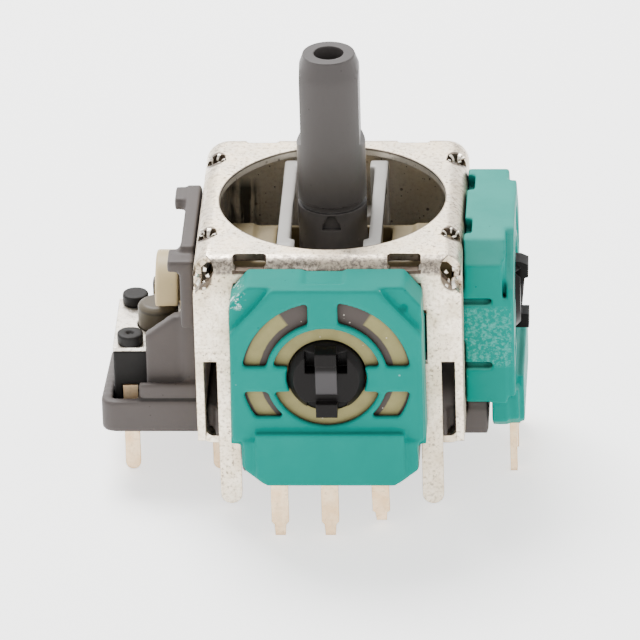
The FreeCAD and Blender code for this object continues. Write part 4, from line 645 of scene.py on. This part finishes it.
slotFinish = {
    "tinned_steel": "tinPlatedSteel", "grey_base": "mouldedGreyNylon", "teal_housing": "mouldedTealPbt",
    "tinned_pin": "tinPlatedPin", "black_rotor": "mouldedBlackAcetal", "contact_spring": "springBronze",
    "light_yoke": "mouldedLightAcetal", "cream_yoke": "mouldedCreamAcetal", "grey_lever": "mouldedLeverNylon",
    "seat_plastic": "mouldedLightAcetal", "spring_steel": "springSteel", "black_case": "mouldedBlackNylon",
    "switch_cover": "rolledStainless", "snap_dome": "rolledStainless", "brown_button": "mouldedBrownNylon",
}
nodeFinish = {"front_wafer": "printedPaperFront", "side_wafer": "printedPaperSide", "side_pot_housing": "mouldedTealSide"}
nodeSlot = {part["node"]: part["material_slot"] for part in frame["record"]["subparts"]}
for bodyName, members in frame["record"]["behaviour"]["bodies"].items():
    for node in members:
        finish = nodeFinish[node] if node in nodeFinish else slotFinish[nodeSlot[node]]
        finishedCopy(node, bodyName, finishes[finish])
print("pieces dressed")

# curled slivers of sheet left in the pierced holes: middle of each hole, reach across and along it and the face they lie in;
# how many to a hole, their width, how far they curl down and their thickness in mm; points along one; how unevenly they are
# spaced, how short the shortest is, where they start and how far they run in as shares of the reach, how far their root stands
# up, and how much they lean aside and twist
tears = {"sites": (((-6.05, -3.8, 11.12), (0.42, 0.5), "top"), ((6.05, -3.8, 11.12), (0.42, 0.5), "top"),
                   ((-6.05, 4.4, 11.12), (0.42, 0.5), "top"), ((6.05, 4.4, 11.12), (0.42, 0.5), "top"),
                   ((-6.15, -6.95, 10.3), (0.34, 0.62), "front"), ((6.15, -6.95, 10.3), (0.34, 0.62), "front")),
         "slivers": 5, "width": 0.24, "curl": 0.38, "gauge": 0.05, "rungs": 6, "uneven": 0.25, "shortest": 0.55,
         "root": 1.05, "run": 0.75, "lift": 0.05, "lean": 0.3, "twist": 0.4}


def tornSlivers(sites, slivers, width, curl, gauge, rungs, uneven, shortest, root, run, lift, lean, twist):
    random = np.random.RandomState(7)
    along = np.linspace(0, 1, rungs)
    points, faces = [], []
    for middle, reach, lie in sites:
        for index in range(slivers):
            turn = 2 * math.pi * (index + random.uniform(-uneven, uneven)) / slivers
            size = random.uniform(shortest, 1.0)
            # each sliver starts on the hole's edge, runs inwards and dips on a quarter of a circle
            inward = root - run * size * np.sin(along * math.pi / 2)
            dip = lift - curl * size * (1 - np.cos(along * math.pi / 2))
            aside = random.uniform(-lean, lean) * along
            for side in (-0.5, 0.5):
                spread = side * width * size * (1 - 0.5 * along) + aside * lean
                across = reach[0] * inward * math.cos(turn) - spread * math.sin(turn)
                forth = reach[1] * inward * math.sin(turn) + spread * math.cos(turn)
                if lie == "top":
                    row = (middle[0] + across, middle[1] + forth, middle[2] + dip + side * aside * twist)
                else:
                    row = (middle[0] + across, middle[1] - dip + side * aside * twist, middle[2] + forth)
                points.append(np.stack(np.broadcast_arrays(*row), axis=-1))
            start = (len(points) - 2) * rungs
            faces += [(step, step + 1, step + 1 + rungs, step + rungs) for step in range(start, start + rungs - 1)]
    mesh = bpy.data.meshes.new("torn_slivers")
    mesh.from_pydata((np.concatenate(points) * mm).tolist(), [], faces)
    mesh.update()
    mesh.materials.append(finishes["rolledStainless"])
    piece = bpy.data.objects.new("torn_slivers", mesh)
    bpy.context.scene.collection.objects.link(piece)
    thicken = piece.modifiers.new("gauge", "SOLIDIFY")
    thicken.thickness = gauge * mm
    thicken.offset = 0
    return piece


frameBody = next(name for name, members in frame["record"]["behaviour"]["bodies"].items() if "metal_frame" in members)
slivers = tornSlivers(**tears)
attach(slivers, frameBody)
print("slivers laid")

# camera: turned a little to the right of the front, looking down by 28 degrees, slightly tilted; its angles are in degrees
cameraView = {"azimuth": 3.42, "elevation": 27.73, "roll": -1.64, "distance": 478 * mm,
              "target": (-0.80 * mm, 0.0, 4.27 * mm), "lens": 533.8, "sensor": 36.0}


def addCamera(view):
    # right, up and backward axes from azimuth and elevation, then rolled about the line of sight
    azimuth, elevation, roll = (math.radians(view[key]) for key in ("azimuth", "elevation", "roll"))
    level = math.cos(elevation)
    right = Vector((math.cos(azimuth), math.sin(azimuth), 0))
    ahead = Vector((-math.sin(azimuth) * level, math.cos(azimuth) * level, -math.sin(elevation)))
    up = right.cross(ahead)
    rolledRight = math.cos(roll) * right + math.sin(roll) * up
    rolledUp = -math.sin(roll) * right + math.cos(roll) * up
    data = bpy.data.cameras.new("photoCamera")
    data.lens = view["lens"]
    data.sensor_width = view["sensor"]
    data.clip_start = 0.01
    data.clip_end = 10
    camera = bpy.data.objects.new("photoCamera", data)
    turn = Matrix((rolledRight, rolledUp, -ahead)).transposed().to_4x4()
    turn.translation = Vector(view["target"]) - ahead * view["distance"]
    camera.matrix_world = turn
    bpy.context.scene.collection.objects.link(camera)
    bpy.context.scene.camera = camera


# the room's brightness at the horizon and overhead, and the heights of its direction between which it changes; the lamp's
# power, place and side in metres; the floor's colour, own light and half side
studio = {"horizon": 2.2, "zenith": 0.2, "from": 0.42, "to": 0.9, "lampPower": 4.6, "lampPlace": (-0.10, 0.22, 0.38),
          "lampSide": 0.22, "floor": "#fafaf9", "floorLight": 1.3, "floorReach": 1.0}


def addSky():
    # a plain white room, brighter low down than overhead
    world = bpy.data.worlds.new("studioSky")
    world.use_nodes = True
    tree = world.node_tree
    direction = addNode(tree, "ShaderNodeTexCoord")
    parts = addNode(tree, "ShaderNodeSeparateXYZ", {}, {0: direction.outputs["Generated"]})
    level = addNode(tree, "ShaderNodeMapRange", {"From Min": studio["from"], "From Max": studio["to"],
                                                 "To Min": studio["horizon"], "To Max": studio["zenith"]},
                    {"Value": parts.outputs["Z"]})
    background = tree.nodes["Background"]
    background.inputs["Color"].default_value = linear("#ffffff")
    tree.links.new(level.outputs["Result"], background.inputs["Strength"])
    bpy.context.scene.world = world


def addLamp():
    # one large soft lamp above and behind, turned to the object
    data = bpy.data.lights.new("keyLight", "AREA")
    data.shape = "SQUARE"
    data.size = studio["lampSide"]
    data.energy = studio["lampPower"]
    lamp = bpy.data.objects.new("keyLight", data)
    lamp.location = studio["lampPlace"]
    lamp.rotation_euler = (-Vector(studio["lampPlace"])).to_track_quat("-Z", "Y").to_euler()
    bpy.context.scene.collection.objects.link(lamp)


def addFloor():
    # a flat grid under the object's lowest point: x and y from one even row of steps, z the same everywhere
    steps = np.linspace(-studio["floorReach"], studio["floorReach"], 21)
    across, along = np.meshgrid(steps, steps)
    points = np.stack([across.ravel(), along.ravel(), np.full(across.size, cadBox[0][2])], axis=1)
    index = np.arange(across.size).reshape(across.shape)
    faces = np.stack([index[:-1, :-1], index[:-1, 1:], index[1:, 1:], index[1:, :-1]], axis=-1).reshape(-1, 4)
    mesh = bpy.data.meshes.new("paleFloor")
    mesh.from_pydata(points.tolist(), [], faces.tolist())
    floor = bpy.data.objects.new("paleFloor", mesh)
    bpy.context.scene.collection.objects.link(floor)
    material, tree, _ = newMaterial("mattPaper")
    closeMaterial(tree, {"Base Color": linear(studio["floor"]), "Roughness": 0.9, "Emission Color": linear("#ffffff"),
                         "Emission Strength": studio["floorLight"]}, {})
    mesh.materials.append(material)


addCamera(cameraView)
addSky()
addLamp()
addFloor()
print("camera and studio ready")

bpy.context.view_layer.update()
